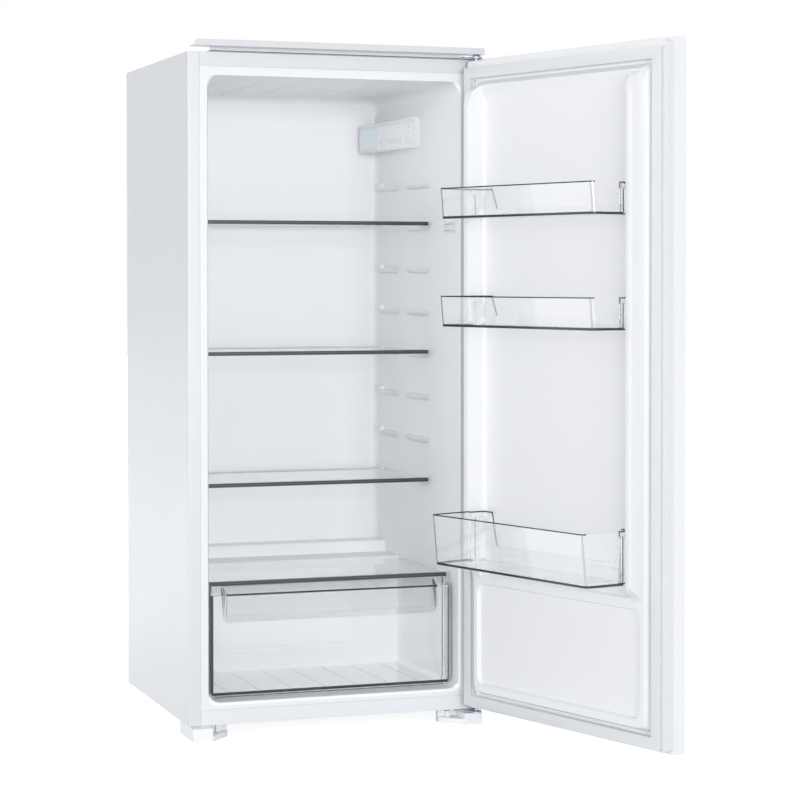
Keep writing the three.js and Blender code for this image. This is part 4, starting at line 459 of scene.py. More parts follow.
def streak_group():
    """Long streaks of rolled or drawn metal."""
    group, entry, leave = new_group(
        "Rolled Streaks",
        [("Stretch", "NodeSocketVector", (1.0, 1.0, 1.0)), ("Roughness", "NodeSocketFloat", 0.4),
         ("Spread", "NodeSocketFloat", 0.2)],
        [("Roughness", "NodeSocketFloat"), ("Height", "NodeSocketFloat")],
    )
    noise = noise_over_object(group, 3.0, entry.outputs["Stretch"])
    noise.inputs["Scale"].default_value = 1.0
    varied = swing(group, noise.outputs["Fac"], entry.outputs["Spread"], entry.outputs["Roughness"])
    group.links.new(varied, leave.inputs["Roughness"])
    group.links.new(noise.outputs["Fac"], leave.inputs["Height"])
    return group


def cell_group():
    """Open cells of cut foam or spangles of zinc: a shade per cell and a height."""
    group, entry, leave = new_group(
        "Cells",
        [("Scale", "NodeSocketFloat", 300.0), ("Colour", "NodeSocketColor", (0.8, 0.7, 0.5, 1.0)),
         ("Amount", "NodeSocketFloat", 0.2)],
        [("Colour", "NodeSocketColor"), ("Height", "NodeSocketFloat")],
    )
    place = group.nodes.new("ShaderNodeTexCoord")
    cells = group.nodes.new("ShaderNodeTexVoronoi")
    grey = group.nodes.new("ShaderNodeSeparateColor")
    group.links.new(place.outputs["Object"], cells.inputs["Vector"])
    group.links.new(entry.outputs["Scale"], cells.inputs["Scale"])
    group.links.new(cells.outputs["Color"], grey.inputs["Color"])
    shade_colour(group, entry, leave, swing(group, grey.outputs[0], entry.outputs["Amount"]))
    group.links.new(cells.outputs["Distance"], leave.inputs["Height"])
    return group


def shared_group(name):
    makers = {"Colour Drift": mottle_group, "Fine Grain": grain_group,
              "Rolled Streaks": streak_group, "Cells": cell_group}
    return bpy.data.node_groups.get(name) or makers[name]()


# Materials

class Finish:
    """A material being wired, with the nodes that the makers share."""

    def __init__(self, name):
        self.material = bpy.data.materials.new(name)
        self.material.use_nodes = True
        self.nodes = self.material.node_tree.nodes
        self.links = self.material.node_tree.links
        self.shader = self.nodes["Principled BSDF"]

    def place_group(self, name, **values):
        node = self.nodes.new("ShaderNodeGroup")
        node.node_tree = shared_group(name)
        for key, value in values.items():
            node.inputs[key].default_value = value
        return node

    def set(self, **values):
        for key, value in values.items():
            self.shader.inputs[key.replace("_", " ")].default_value = value

    def colour_from(self, node):
        self.links.new(node.outputs["Colour"], self.shader.inputs["Base Color"])

    def surface_from(self, node, strength, distance):
        self.links.new(node.outputs["Roughness"], self.shader.inputs["Roughness"])
        self.bump_from(node, strength, distance)

    def bump_from(self, node, strength, distance):
        bump = self.nodes.new("ShaderNodeBump")
        bump.inputs["Strength"].default_value = strength
        bump.inputs["Distance"].default_value = distance
        self.links.new(node.outputs["Height"], bump.inputs["Height"])
        self.links.new(bump.outputs["Normal"], self.shader.inputs["Normal"])


def opaque(colour):
    return (*colour, 1.0)


def painted_steel(name, colour):
    finish = Finish(name)
    finish.colour_from(finish.place_group("Colour Drift", Colour=opaque(colour), Scale=2.5, Amount=0.012))
    grain = finish.place_group("Fine Grain", Scale=420.0, Roughness=0.34, Spread=0.08)
    finish.surface_from(grain, 0.12, 0.0003)
    finish.set(Coat_Weight=0.25, Coat_Roughness=0.2)
    return finish.material


def moulded_plastic(name, colour, roughness=0.38, grain_scale=1100.0, depth=0.1):
    finish = Finish(name)
    finish.colour_from(finish.place_group("Colour Drift", Colour=opaque(colour), Scale=4.0, Amount=0.01))
    grain = finish.place_group("Fine Grain", Scale=grain_scale, Roughness=roughness, Spread=0.07)
    finish.surface_from(grain, depth, 0.0002)
    return finish.material


def soft_rubber(name, colour):
    finish = Finish(name)
    finish.colour_from(finish.place_group("Colour Drift", Colour=opaque(colour), Scale=30.0, Amount=0.03))
    grain = finish.place_group("Fine Grain", Scale=1500.0, Roughness=0.62, Spread=0.1)
    finish.surface_from(grain, 0.2, 0.0002)
    return finish.material


def see_through(name, colour, roughness, ior=1.49, grain_scale=60.0, milk=0.0):
    """Glass or clear plastic, which lamps also shine through; milk clouds it."""
    finish = Finish(name)
    finish.colour_from(finish.place_group("Colour Drift", Colour=opaque(colour), Scale=5.0, Amount=0.015))
    grain = finish.place_group("Fine Grain", Scale=grain_scale, Roughness=roughness, Spread=0.02)
    finish.surface_from(grain, 0.004, 0.0004)
    finish.set(Transmission_Weight=1.0 - milk, IOR=ior)
    open_air = finish.nodes.new("ShaderNodeBsdfTransparent")
    open_air.inputs["Color"].default_value = opaque(colour)
    path = finish.nodes.new("ShaderNodeLightPath")
    surface = finish.shader.outputs[0]
    for ray in ("Is Shadow Ray", "Is Diffuse Ray"):
        mix = finish.nodes.new("ShaderNodeMixShader")
        finish.links.new(path.outputs[ray], mix.inputs["Fac"])
        finish.links.new(surface, mix.inputs[1])
        finish.links.new(open_air.outputs[0], mix.inputs[2])
        surface = mix.outputs[0]
    finish.links.new(surface, finish.nodes["Material Output"].inputs["Surface"])
    return finish.material


def bare_metal(name, colour, roughness, stretch):
    finish = Finish(name)
    finish.colour_from(finish.place_group("Colour Drift", Colour=opaque(colour), Scale=20.0, Amount=0.08))
    streaks = finish.place_group("Rolled Streaks", Stretch=stretch, Roughness=roughness, Spread=0.2)
    finish.surface_from(streaks, 0.15, 0.0003)
    finish.set(Metallic=1.0)
    return finish.material


def spangled_zinc(name, colour):
    finish = Finish(name)
    finish.colour_from(finish.place_group("Cells", Colour=opaque(colour), Scale=90.0, Amount=0.35))
    streaks = finish.place_group("Rolled Streaks", Stretch=(40.0, 6.0, 40.0), Roughness=0.42, Spread=0.2)
    finish.surface_from(streaks, 0.1, 0.0002)
    finish.set(Metallic=1.0)
    return finish.material


def cast_foam(name, colour):
    finish = Finish(name)
    cells = finish.place_group("Cells", Colour=opaque(colour), Scale=420.0, Amount=0.16)
    finish.colour_from(cells)
    finish.bump_from(cells, 0.6, 0.001)
    finish.set(Roughness=0.9)
    return finish.material


def enamel(name, colour):
    finish = Finish(name)
    finish.colour_from(finish.place_group("Colour Drift", Colour=opaque(colour), Scale=14.0, Amount=0.2))
    grain = finish.place_group("Fine Grain", Scale=260.0, Roughness=0.35, Spread=0.15)
    finish.surface_from(grain, 0.2, 0.0004)
    finish.set(Coat_Weight=0.3, Coat_Roughness=0.3)
    return finish.material


def make_finishes():
    """One material for each surface of the object, by plain name."""
    colours = bpy.context.scene.fridge_colours
    return {
        "painted_steel": painted_steel("painted_steel", colours.steel),
        # Painted light on the door's sheet: a lighter copy of the steel colour
        "door_steel": painted_steel("door_steel", colours.door_steel),
        # Painted light on the base panel: a lighter copy of the steel colour
        "plinth_steel": painted_steel("plinth_steel", colours.plinth_painted_light),
        # Painted shade on the liner's front rim, which faces the lamps
        "liner_rim": moulded_plastic("liner_rim", colours.liner_rim, roughness=0.42),
        # Painted shade on the door liner's flanks
        "door_flank": moulded_plastic("door_flank", colours.door_flank, roughness=0.42),
        "liner_plastic": moulded_plastic("liner_plastic", colours.liner, roughness=0.42),
        "door_liner_plastic": moulded_plastic("door_liner_plastic", colours.door_liner, roughness=0.42),
        "gasket": soft_rubber("gasket", colours.gasket),
        "white_plastic": moulded_plastic("white_plastic", colours.white),
        "grey_plastic": moulded_plastic("grey_plastic", colours.fascia, grain_scale=1600.0),
        # Print on the control face, and painted shade for the seal's corner slots
        "printed_mark": moulded_plastic("printed_mark", colours.printed, grain_scale=900.0),
        "strip_plastic": moulded_plastic("strip_plastic", colours.strip),
        # Painted shadow of the gap under the cover strip, with the rubber shader
        "black_rubber": soft_rubber("black_rubber", colours.gap_shadow),
        "shelf_trim": moulded_plastic("shelf_trim", colours.trim, roughness=0.3),
        "trim_line": moulded_plastic("trim_line", colours.trim_line, roughness=0.3),
        "clear_plastic": see_through("clear_plastic", colours.clear, roughness=0.03),
        # Painted reflection: a milky copy of the clear plastic makes the fronts of the drawer and bins bright like
        # a reflection of the lamps
        "clear_front": see_through("clear_front", colours.clear, roughness=0.05, milk=0.22),
        "clear_grip": see_through("clear_grip", colours.clear_grip, roughness=0.05, milk=0.1),
        # Painted shade for the dark edges and outlines of the clear plastic
        "smoked_edge": see_through("smoked_edge", colours.edge_shade_colour, grain_scale=90.0,
                                   roughness=0.12, milk=0.85),
        # Painted shade for the upright corner line of the door bins
        "corner_line": see_through("corner_line", colours.corner_line, ior=1.12, grain_scale=90.0,
                                   roughness=0.3, milk=0.6),
        "glass": see_through("glass", colours.glass, ior=1.5, grain_scale=12.0, roughness=0.02, milk=0.05),
        "lens": moulded_plastic("lens", colours.lens, roughness=0.18, grain_scale=300.0, depth=0.3),
        "board": moulded_plastic("board", colours.board),
        "zinced_hinge": bare_metal("zinced_hinge", colours.zinc, roughness=0.38, stretch=(30.0, 260.0, 30.0)),
        "galvanised_steel": spangled_zinc("galvanised_steel", colours.galvanised),
        "aluminium": bare_metal("aluminium", colours.aluminium, roughness=0.4, stretch=(4.0, 200.0, 200.0)),
        "copper": bare_metal("copper", colours.copper, roughness=0.32, stretch=(120.0, 120.0, 30.0)),
        "black_steel": enamel("black_steel", colours.black),
        "dark_plastic": moulded_plastic("dark_plastic", colours.dark_plastic, roughness=0.5),
        "foam": cast_foam("foam", colours.foam),
    }


finishes = {}


# Pieces of the object

class FRIDGE_OT_finishes(bpy.types.Operator):
    """Make the finishes and paint the carried-over nodes"""

    bl_idname = "fridge.finishes"
    bl_label = "Finishes"

    def execute(self, context):
        finishes.update(make_finishes())
        for entry in frame["record"]["subparts"]:
            paint_node(entry["node"], finishes[entry["material_slot"]])
        paint_node("door_liner", finishes["door_liner_plastic"])
        return {"FINISHED"}


class FRIDGE_OT_panels(bpy.types.Operator):
    """Fold soft edges on the painted steel panels"""

    bl_idname = "fridge.panels"
    bl_label = "Steel panels"

    def execute(self, context):
        radius = context.scene.fridge_edges.sheet
        steel = finishes["painted_steel"]
        for side, node in ((-1, "side_panel_left"), (1, "side_panel_right")):
            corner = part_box(node)[0 if side < 0 else 1][0]
            dress(node, steel, shape=lambda piece, corner=corner: round_upright(piece, corner, radius))
        dress("top_panel", steel)
        # The base panel takes the lighter copy of the steel colour: painted light
        dress("base_panel", finishes["plinth_steel"])
        # The door's sheet takes the lighter copy of the steel colour: painted light
        dress("door_panel", finishes["door_steel"])
        return {"FINISHED"}


def round_upright(piece, corner, radius):
    """Rounds the upright front corner of a side panel, outside and inside its fold."""
    side = 1 if corner > 0 else -1
    sheet = 0.8 * MM
    for inset, bend in ((0.0, radius), (sheet, radius - sheet)):
        select_edges(piece, lambda a, b, inset=inset: all(
            abs(point.x - corner + side * inset) < TOUCH and abs(point.y - inset) < TOUCH
            for point in (a, b)))
        bpy.ops.mesh.bevel(offset=bend, segments=4, affect="EDGES")
        leave_edit()


class FRIDGE_OT_liners(bpy.types.Operator):
    """Soften the moulded liners and the switch and control housings"""

    bl_idname = "fridge.liners"
    bl_label = "Liners"

    def execute(self, context):
        radius = context.scene.fridge_edges.moulding
        dress("inner_liner", finishes["liner_plastic"], finishes["liner_rim"], angle=38.0, shape=shape_liner)
        dress("door_liner", finishes["door_liner_plastic"], finishes["door_flank"], angle=38.0,
              shape=shape_door_liner)
        dress("door_gasket", finishes["gasket"])
        for node in ("control_housing", "switch_housing"):
            dress(node, finishes["white_plastic"], width=radius, angle=35.0)
        dress("switch_rocker", finishes["white_plastic"], width=radius / 2, angle=35.0)
        dress("control_fascia", finishes["grey_plastic"], width=radius / 4, angle=35.0)
        dress("lamp_lens", finishes["lens"], width=radius / 2, angle=35.0)
        for node in ("mode_button", "set_button"):
            dress(node, finishes["white_plastic"], width=radius / 4, angle=50.0)
        return {"FINISHED"}


def shape_liner(piece):
    """Paints the liner's front rim, which the seal lies on, with a darker copy of the liner's colour: painted
    shade where the lamps fall strongly.
    """
    rim_back = 6 * MM
    paint_faces(piece, 1, lambda centre, normal: normal.y < -0.9 and centre.y < rim_back)


def shape_door_liner(piece):
    """Paints the flanks of the door's uprights that face its free edge with a darker copy of the door liner's
    colour: painted shade.
    """
    turned = door_turn().inverted().to_3x3()
    paint_faces(piece, 1, lambda centre, normal: (turned @ normal).x < -0.6)


# Which material of a clear piece a face takes: plain, painted edge shade, painted front sheen or its own fourth
# one
PLAIN, EDGE_SHADE, FRONT_SHEEN, FOURTH = range(4)

# How far a door bin's ends and its front, with the rounded corners, reach inwards
BIN_ENDS, BIN_FRONT = 9 * MM, 16 * MM


class FRIDGE_OT_clear_pieces(bpy.types.Operator):
    """Make the drawer and the door bins with painted shade on their cut edges and outlines and a painted sheen on
    their fronts
    """

    bl_idname = "fridge.clear_pieces"
    bl_label = "Drawer and bins"

    def execute(self, context):
        radius = context.scene.fridge_edges.clear
        clear = [finishes[name] for name in ("clear_plastic", "smoked_edge", "clear_front")]
        # The bevelled edges of the clear pieces take the painted edge shade
        dress("crisper_drawer", *clear, finishes["clear_grip"], width=radius, angle=38.0, segments=1,
              shape=shape_drawer, after=clear_drawer_floor, edge_slot=EDGE_SHADE)
        for node in ("door_bin_upper", "door_bin_middle", "door_bin_lower"):
            dress(node, *clear, finishes["corner_line"], width=radius, angle=38.0, segments=1,
                  shape=shape_bin, after=clear_bin_floor, edge_slot=EDGE_SHADE)
        return {"FINISHED"}


def shape_drawer(piece):
    """Paints a sheen on the drawer's front and shade on its front's border, its grip's edges, its toe and the
    front of its outer sides, and marks the face of its grip.
    """
    low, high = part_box("crisper_drawer")
    front = low.y + 10 * MM
    grip_top_band = high.z - 15.3 * MM
    left_band = low.x + 4.9 * MM
    side_band = front + 9 * MM
    ring_reach = high.x - 2.1 * MM
    toe = low.z + 9 * MM
    toe_band = low.z + 10.5 * MM
    grip_end = high.x - 26.5 * MM

    def on_front(centre, normal):
        return normal.y < -0.99 and abs(centre.y - front) < TOUCH

    def in_ring(centre):
        return abs(centre.x) > ring_reach or centre.x < left_band or centre.z < toe_band

    def on_grip_edge(centre, normal):
        if centre.y < low.y + 3 * MM and centre.z > grip_top_band:
            return True
        if centre.y < front - 1 * MM and (abs(normal.x) > 0.9 or normal.z < -0.9):
            return True
        return abs(normal.x) > 0.9 and abs(abs(centre.x) - grip_end) < 3 * MM and centre.y < front + 24 * MM

    def on_outer_side(centre, normal):
        outward = normal.x * centre.x > 0 and abs(normal.x) > 0.6
        return outward and abs(centre.x) > ring_reach - 3 * MM and centre.y < side_band

    slice_at(piece, (0.0, 0.0, grip_top_band), (0.0, 0.0, 1.0))
    select_faces(piece, on_front)
    bpy.ops.mesh.inset(thickness=2.0 * MM)
    leave_edit()
    slice_at(piece, (left_band, 0.0, 0.0), (1.0, 0.0, 0.0))
    slice_at(piece, (0.0, side_band, 0.0), (0.0, 1.0, 0.0))
    # Painted sheen on the front
    paint_faces(piece, FRONT_SHEEN, on_front)
    paint_faces(piece, FOURTH, lambda centre, normal: normal.y < -0.99 and centre.y < low.y + 1 * MM)
    # Painted shade on the front's border, the grip's edges, the toe and the front of the outer sides
    paint_faces(piece, EDGE_SHADE, lambda centre, normal: on_front(centre, normal) and in_ring(centre))
    paint_faces(piece, EDGE_SHADE, on_grip_edge)
    paint_faces(piece, EDGE_SHADE, lambda centre, normal: -0.995 < normal.y < -0.9 and centre.z < toe)
    paint_faces(piece, EDGE_SHADE, on_outer_side)


def clear_drawer_floor(piece):
    """Keeps the small edges on the drawer's floor clear."""
    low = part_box("crisper_drawer")[0]
    paint_faces(piece, PLAIN, lambda centre, normal: centre.z < low.z + 9 * MM and centre.y > low.y + 24 * MM)


def closed_box(piece):
    """The piece's corners with the door shut."""
    back = door_turn().inverted()
    points = [back @ point.co for point in piece.data.vertices]
    return [Vector([pick(point[axis] for point in points) for axis in range(3)]) for pick in (min, max)]


def shape_bin(piece):
    """Paints shade on a door bin's rim, foot band and upright corners, and a sheen on its front."""
    low, high = closed_box(piece)
    back = door_turn().inverted()
    turned = back.to_3x3()
    rim, foot = high.z - 2.0 * MM, low.z + 4.2 * MM
    free_corner = 123.9
    for level in (rim, foot):
        slice_at(piece, (0.0, 0.0, level), (0.0, 0.0, 1.0))

    def at_edge(centre):
        place = back @ centre
        return place.x < low.x + BIN_ENDS or place.x > high.x - BIN_ENDS or place.y > high.y - BIN_FRONT

    def on_free_side(centre):
        place = back @ centre
        return place.x < low.x + 6 * MM and place.y < high.y - 9 * MM

    def on_front(centre, normal):
        return (turned @ normal).y > 0.95 and (back @ centre).y > high.y - 13 * MM

    def bearing(normal):
        return math.degrees(math.atan2(*(turned @ normal).yx))

    def upright(centre, normal):
        return abs(normal.z) < 0.3 and at_edge(centre)

    # Painted sheen on the front
    paint_faces(piece, FRONT_SHEEN, on_front)
    # Painted shade: the grey line on the facet of the free upright corner
    paint_faces(piece, FOURTH, lambda centre, normal: upright(centre, normal)
                and abs(bearing(normal) - free_corner) < 8)
    # Painted shade on the rounded facets at the hinge end, on the rim and on the foot band
    paint_faces(piece, EDGE_SHADE, lambda centre, normal: upright(centre, normal) and 26 < bearing(normal) < 64)
    paint_faces(piece, EDGE_SHADE, lambda centre, normal: centre.z > rim and not on_free_side(centre))
    paint_faces(piece, EDGE_SHADE, lambda centre, normal: centre.z < foot and at_edge(centre)
                and abs(normal.z) < 0.5)


def clear_bin_floor(piece):
    """Keeps the small edges on a bin's floor clear."""
    low, high = closed_box(piece)
    back = door_turn().inverted()

    def on_floor(centre, normal):
        place = back @ centre
        inside = low.x + BIN_ENDS < place.x < high.x - BIN_ENDS and place.y < high.y - BIN_FRONT
        return inside and centre.z < low.z + 8 * MM

    paint_faces(piece, PLAIN, on_floor)


class FRIDGE_OT_shelves(bpy.types.Operator):
    """Make the glass shelves and their trims"""

    bl_idname = "fridge.shelves"
    bl_label = "Shelves"

    def execute(self, context):
        radius = context.scene.fridge_edges.clear
        trim = (finishes["shelf_trim"], finishes["trim_line"])
        for step in (1, 2, 3):
            dress(f"shelf_glass_{step}", finishes["glass"], width=radius, segments=1)
            dress(f"shelf_front_trim_{step}", *trim, width=radius / 3, shape=shape_trim)
            dress(f"shelf_rear_trim_{step}", finishes["white_plastic"], width=radius)
        dress("crisper_cover_glass", finishes["glass"], width=radius, segments=1)
        dress("crisper_cover_trim", *trim, width=radius / 3, shape=shape_trim)
        return {"FINISHED"}


def shape_trim(piece):
    """Marks the paler line along the middle of a shelf's front trim."""
    levels = [point.co.z for point in piece.data.vertices]
    low, high = min(levels), max(levels)
    near = min(point.co.y for point in piece.data.vertices)
    under, over = low + (high - low) * 0.45, low + (high - low) * 0.68
    for level in (under, over):
        slice_at(piece, (0.0, 0.0, level), (0.0, 0.0, 1.0))
    paint_faces(piece, 1, lambda centre, normal: under < centre.z < over and normal.y < -0.9
                and centre.y < near + 1 * MM)


class FRIDGE_OT_outside(bpy.types.Operator):
    """Make the cover strip, the feet and the hinges"""

    bl_idname = "fridge.outside"
    bl_label = "Strip, feet and hinges"

    def execute(self, context):
        radius = context.scene.fridge_edges.moulding
        white = finishes["white_plastic"]
        dress("cover_strip", finishes["strip_plastic"], finishes["black_rubber"], width=radius / 2,
              angle=35.0, shape=shape_strip)
        for node in ("front_foot_left", "front_foot_right", "rear_foot_left", "rear_foot_right"):
            dress(node, white, width=radius * 0.8, angle=35.0)
        for node in ("hinge_bracket_top", "hinge_bracket_bottom"):
            dress(node, finishes["zinced_hinge"], width=radius / 2, angle=35.0)
        for node in ("hinge_bush_top", "hinge_bush_bottom"):
            dress(node, white)
        return {"FINISHED"}


def shape_strip(piece):
    """Paints the shadow of the gap under the strip's web as a thin dark band along its lowest edge."""
    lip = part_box("cover_strip")[0].z + 1.3 * MM
    slice_at(piece, (0.0, 0.0, lip), (0.0, 0.0, 1.0))
    paint_faces(piece, 1, lambda centre, normal: centre.z < lip and normal.y < -0.5)


class FRIDGE_OT_fittings(bpy.types.Operator):
    """Add the small fittings: hinge heads, strip lug, seal slots, edge holes and printed marks"""

    bl_idname = "fridge.fittings"
    bl_label = "Small fittings"

    def execute(self, context):
        make_hinge_heads()
        make_strip_lug()
        make_seal_slots()
        make_edge_holes()
        make_marks()
        return {"FINISHED"}


def make_hinge_heads():
    """The bolts and the pin's head on the top hinge."""
    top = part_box("hinge_bracket_top")[1].z
    first_bolt, steps_back = (241 * MM, 4 * MM, top + 1.2 * MM), (24 * MM, 46 * MM)
    bolt = turned_head("hinge_bolts", first_bolt, radius=3.2 * MM, height=2.4 * MM)
    moved_copies(bolt, [(0.0, step, 0.0) for step in steps_back])
    finish_piece(bolt, "cabinet", "black_steel", finishes["black_steel"])
    pin_place = (DOOR_PIVOT.x, DOOR_PIVOT.y, top + 1.5 * MM)
    pin = turned_head("hinge_pin_head", pin_place, radius=6.5 * MM, height=3.0 * MM, recess=0.3)
    finish_piece(pin, "cabinet", "zinced_hinge", finishes["zinced_hinge"])


def make_strip_lug():
    """The cover strip's small lug over the top hinge."""
    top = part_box("hinge_bracket_top")[1].z
    low, high = (227.8 * MM, -9.6 * MM, top + 0.1 * MM), (237 * MM, -4.0 * MM, top + 3.4 * MM)
    lug = rounded_bar("strip_lug", low, high, width=0.6 * MM)
    finish_piece(lug, "cabinet", "white_plastic", finishes["white_plastic"])


def door_turn():
    """Takes the closed door to where it stands at rest."""
    return (Matrix.Translation(DOOR_PIVOT) @ Matrix.Rotation(DOOR_OPEN, 4, "Z")
            @ Matrix.Translation(-DOOR_PIVOT))


def make_seal_slots():
    """The small slots at the seal's inner corners, as dark bars that stand a little proud: painted shade for the
    hollows of the slots.
    """
    across, face = 244.3 * MM, -12.6 * MM
    low, rise = 33.5 * MM, 1099 * MM
    half, depth, length = 0.6 * MM, 0.5 * MM, 5 * MM
    slot = rounded_bar("seal_slots", (-across - half, face, low),
                       (-across + half, face + depth, low + length), width=half / 2)
    moved_copies(slot, [(2 * across, 0.0, 0.0), (0.0, 0.0, rise), (2 * across, 0.0, rise)])
    turn_to(slot, door_turn())
    finish_piece(slot, "door", "dark_plastic", finishes["printed_mark"])


def make_edge_holes():
    """The fixing holes in the door's free edge."""
    levels = (1128.0, 1118.5, 1108.6, 1089.0, 90.0, 69.3, 59.8, 50.1)
    edge = Vector((-270.0, -45.0, levels[0])) * MM
    hole = turned_head("edge_holes", (0.0, 0.0, 0.25 * MM), radius=1.7 * MM, height=0.4 * MM, recess=0.8)
    turn_to(hole, Matrix.Translation(edge) @ Matrix.Rotation(-math.pi / 2, 4, "Y"))
    moved_copies(hole, [(0.0, 0.0, (level - levels[0]) * MM) for level in levels[1:]])
    turn_to(hole, door_turn())
    finish_piece(hole, "door", "grey_plastic", finishes["grey_plastic"])


def make_marks():
    """Generic printed marks on the control face: a row of lamps, dashes and corner marks."""
    # The face's own frame: along it, out of it and up
    start = Vector((214.0, 200.0, 0.0)) * MM
    run = Vector((-32.0, 230.0, 0.0)).normalized()
    out = Vector((0.0, 0.0, 1.0)).cross(run)
    face = Matrix((
        (run.x, out.x, 0.0, start.x),
        (run.y, out.y, 0.0, start.y),
        (0.0, 0.0, 1.0, 0.0),
        (0.0, 0.0, 0.0, 1.0),
    ))
    lamps = [(52 + 10 * step, 53 + 10 * step, 1039, 1049) for step in range(6)]
    dashes = [(near, far, level, level + 1.3) for near, far, level in (
        (14, 24, 1068), (16, 24, 1057), (10, 13, 1043), (134, 141, 1043))]
    corners = [(edge - 1.6, edge + 1.6, level, level + 1.0)
               for edge in (14, 26, 119, 131) for level in (1035.5, 1049.5)]
    pieces = [mark(*(value * MM for value in sides)) for sides in lamps + dashes + corners]
    join_pieces(pieces)
    marks = pieces[0]
    marks.name = "control_marks"
    turn_to(marks, face)
    finish_piece(marks, "cabinet", "grey_plastic", finishes["printed_mark"])


def mark(near, far, low, high):
    """One printed mark, which stands a little proud of the face."""
    under, over = 0.02 * MM, 0.16 * MM
    return rounded_bar("control_mark", (near, under, low), (far, over, high), width=0.05 * MM, segments=1)


class FRIDGE_OT_machine(bpy.types.Operator):
    """Make the compressor, the condenser and what is beside them"""

    bl_idname = "fridge.machine"
    bl_label = "Machine at the back"

    def execute(self, context):
        radius = context.scene.fridge_edges.moulding
        for node in ("compressor", "condenser"):
            dress(node, finishes["black_steel"], angle=38.0)
        for node in ("discharge_pipe", "suction_pipe", "filter_drier"):
            dress(node, finishes["copper"], angle=40.0)
        for node in ("compressor_base", "chamber_panel"):
            dress(node, finishes["galvanised_steel"])
        dress("back_panel", finishes["painted_steel"])
        dress("relay_cover", finishes["dark_plastic"], width=radius, angle=35.0)
        dress("evaporation_tray", finishes["dark_plastic"], width=radius / 2, angle=38.0)
        make_wires()
        make_back_screws()
        return {"FINISHED"}


def make_wires():
    """The condenser's close rows of wires, in front of and behind its tube."""
    low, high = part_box("condenser")
    behind = high.y - 0.8 * MM
    ahead = behind - 4.8 * MM
    # Every sixth wire behind the tube is the solid's own
    pitch, last, carried = 11.2 * MM, 36, 6
    deselect()
    bpy.ops.mesh.primitive_cylinder_add(vertices=8, radius=0.75 * MM, depth=high.z - low.z - 2 * MM,
                                        location=(0.0, 0.0, (low.z + high.z) / 2))
    wires = bpy.context.object
    wires.name = "condenser_wires"
    keep_place_in_mesh(wires)
    apply_modifier(wires, "BEVEL", width=0.3 * MM, segments=1, limit_method="ANGLE",
                   angle_limit=math.radians(60.0))
    turn_to(wires, Matrix.Translation((-last / 2 * pitch, ahead, 0.0)))
    places = [(pitch * step, 0.0, 0.0) for step in range(1, last + 1)]
    places += [(pitch * step, behind - ahead, 0.0) for step in range(last + 1) if (step + 3) % carried]
    moved_copies(wires, places)
    smooth(wires, 50.0)
    finish_piece(wires, "cabinet", "black_steel", finishes["black_steel"])


def make_back_screws():
    """Screws round the back panel."""
    low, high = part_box("back_panel")
    aside, above = 9 * MM, 14 * MM
    head = turned_head("back_screws", (0.0, 0.0, 0.6 * MM), radius=3.4 * MM, height=1.2 * MM)
    turn_to(head, Matrix.Translation((low.x + aside, high.y, low.z + above))
            @ Matrix.Rotation(-math.pi / 2, 4, "X"))
    across, rise = high.x - low.x - 2 * aside, (high.z - low.z - 2 * above) / 4
    places = [(side * across, 0.0, step * rise) for side in (0, 1) for step in range(5) if side or step]
    moved_copies(head, places)
    finish_piece(head, "cabinet", "galvanised_steel", finishes["galvanised_steel"])


class FRIDGE_OT_stage(bpy.types.Operator):
    """Set the pale floor, the soft studio light and the camera"""

    bl_idname = "fridge.stage"
    bl_label = "Studio and camera"

    def execute(self, context):
        stage = context.scene.fridge_stage
        make_floor(stage)
        make_surround(stage)
        make_lamps(stage)
        make_camera()
        context.scene.view_settings.view_transform = "Standard"
        return {"FINISHED"}


def seen_by_eye(tree):
    """1 for camera, mirror and see-through rays, 0 for the rays that carry light."""
    path = tree.nodes.new("ShaderNodeLightPath")
    direct = math_node(tree, "ADD")
    either = math_node(tree, "ADD")
    either.use_clamp = True
    tree.links.new(path.outputs["Is Camera Ray"], direct.inputs[0])
    tree.links.new(path.outputs["Is Glossy Ray"], direct.inputs[1])
    tree.links.new(direct.outputs[0], either.inputs[0])
    tree.links.new(path.outputs["Is Transmission Ray"], either.inputs[1])
    return either.outputs[0]


def make_floor(stage):
    """A pale floor that keeps the object's shadow and fades to white away from it."""
    deselect()
    floor_level = cad_box[0][2] - 0.4 * MM
    bpy.ops.mesh.primitive_plane_add(size=stage.floor, location=(0.0, 0.0, floor_level))
    floor = bpy.context.object
    floor.name = "studio_floor"
    keep_place_in_mesh(floor)
    finish = Finish("studio_floor")
    paint = opaque((0.78, 0.78, 0.785))
    finish.colour_from(finish.place_group("Colour Drift", Colour=paint, Scale=0.4, Amount=0.004))
    finish.set(Roughness=0.9, Specular_IOR_Level=0.0, Emission_Color=opaque((1.0, 1.0, 1.0)))
    place = finish.nodes.new("ShaderNodeTexCoord")
    away = finish.nodes.new("ShaderNodeVectorMath")
    away.operation = "LENGTH"
    paler = finish.nodes.new("ShaderNodeMapRange")
    paler.interpolation_type = "SMOOTHSTEP"
    for key, value in {"From Min": 0.7, "From Max": 1.8, "To Min": 0.8, "To Max": 1.0}.items():
        paler.inputs[key].default_value = value
    tree = finish.material.node_tree
    lift = math_node(tree, "MULTIPLY")
    finish.links.new(place.outputs["Object"], away.inputs[0])
    finish.links.new(away.outputs["Value"], paler.inputs["Value"])
    finish.links.new(seen_by_eye(tree), lift.inputs[0])
    finish.links.new(paler.outputs["Result"], lift.inputs[1])
    finish.links.new(lift.outputs[0], finish.shader.inputs["Emission Strength"])
    floor.data.materials.append(finish.material)


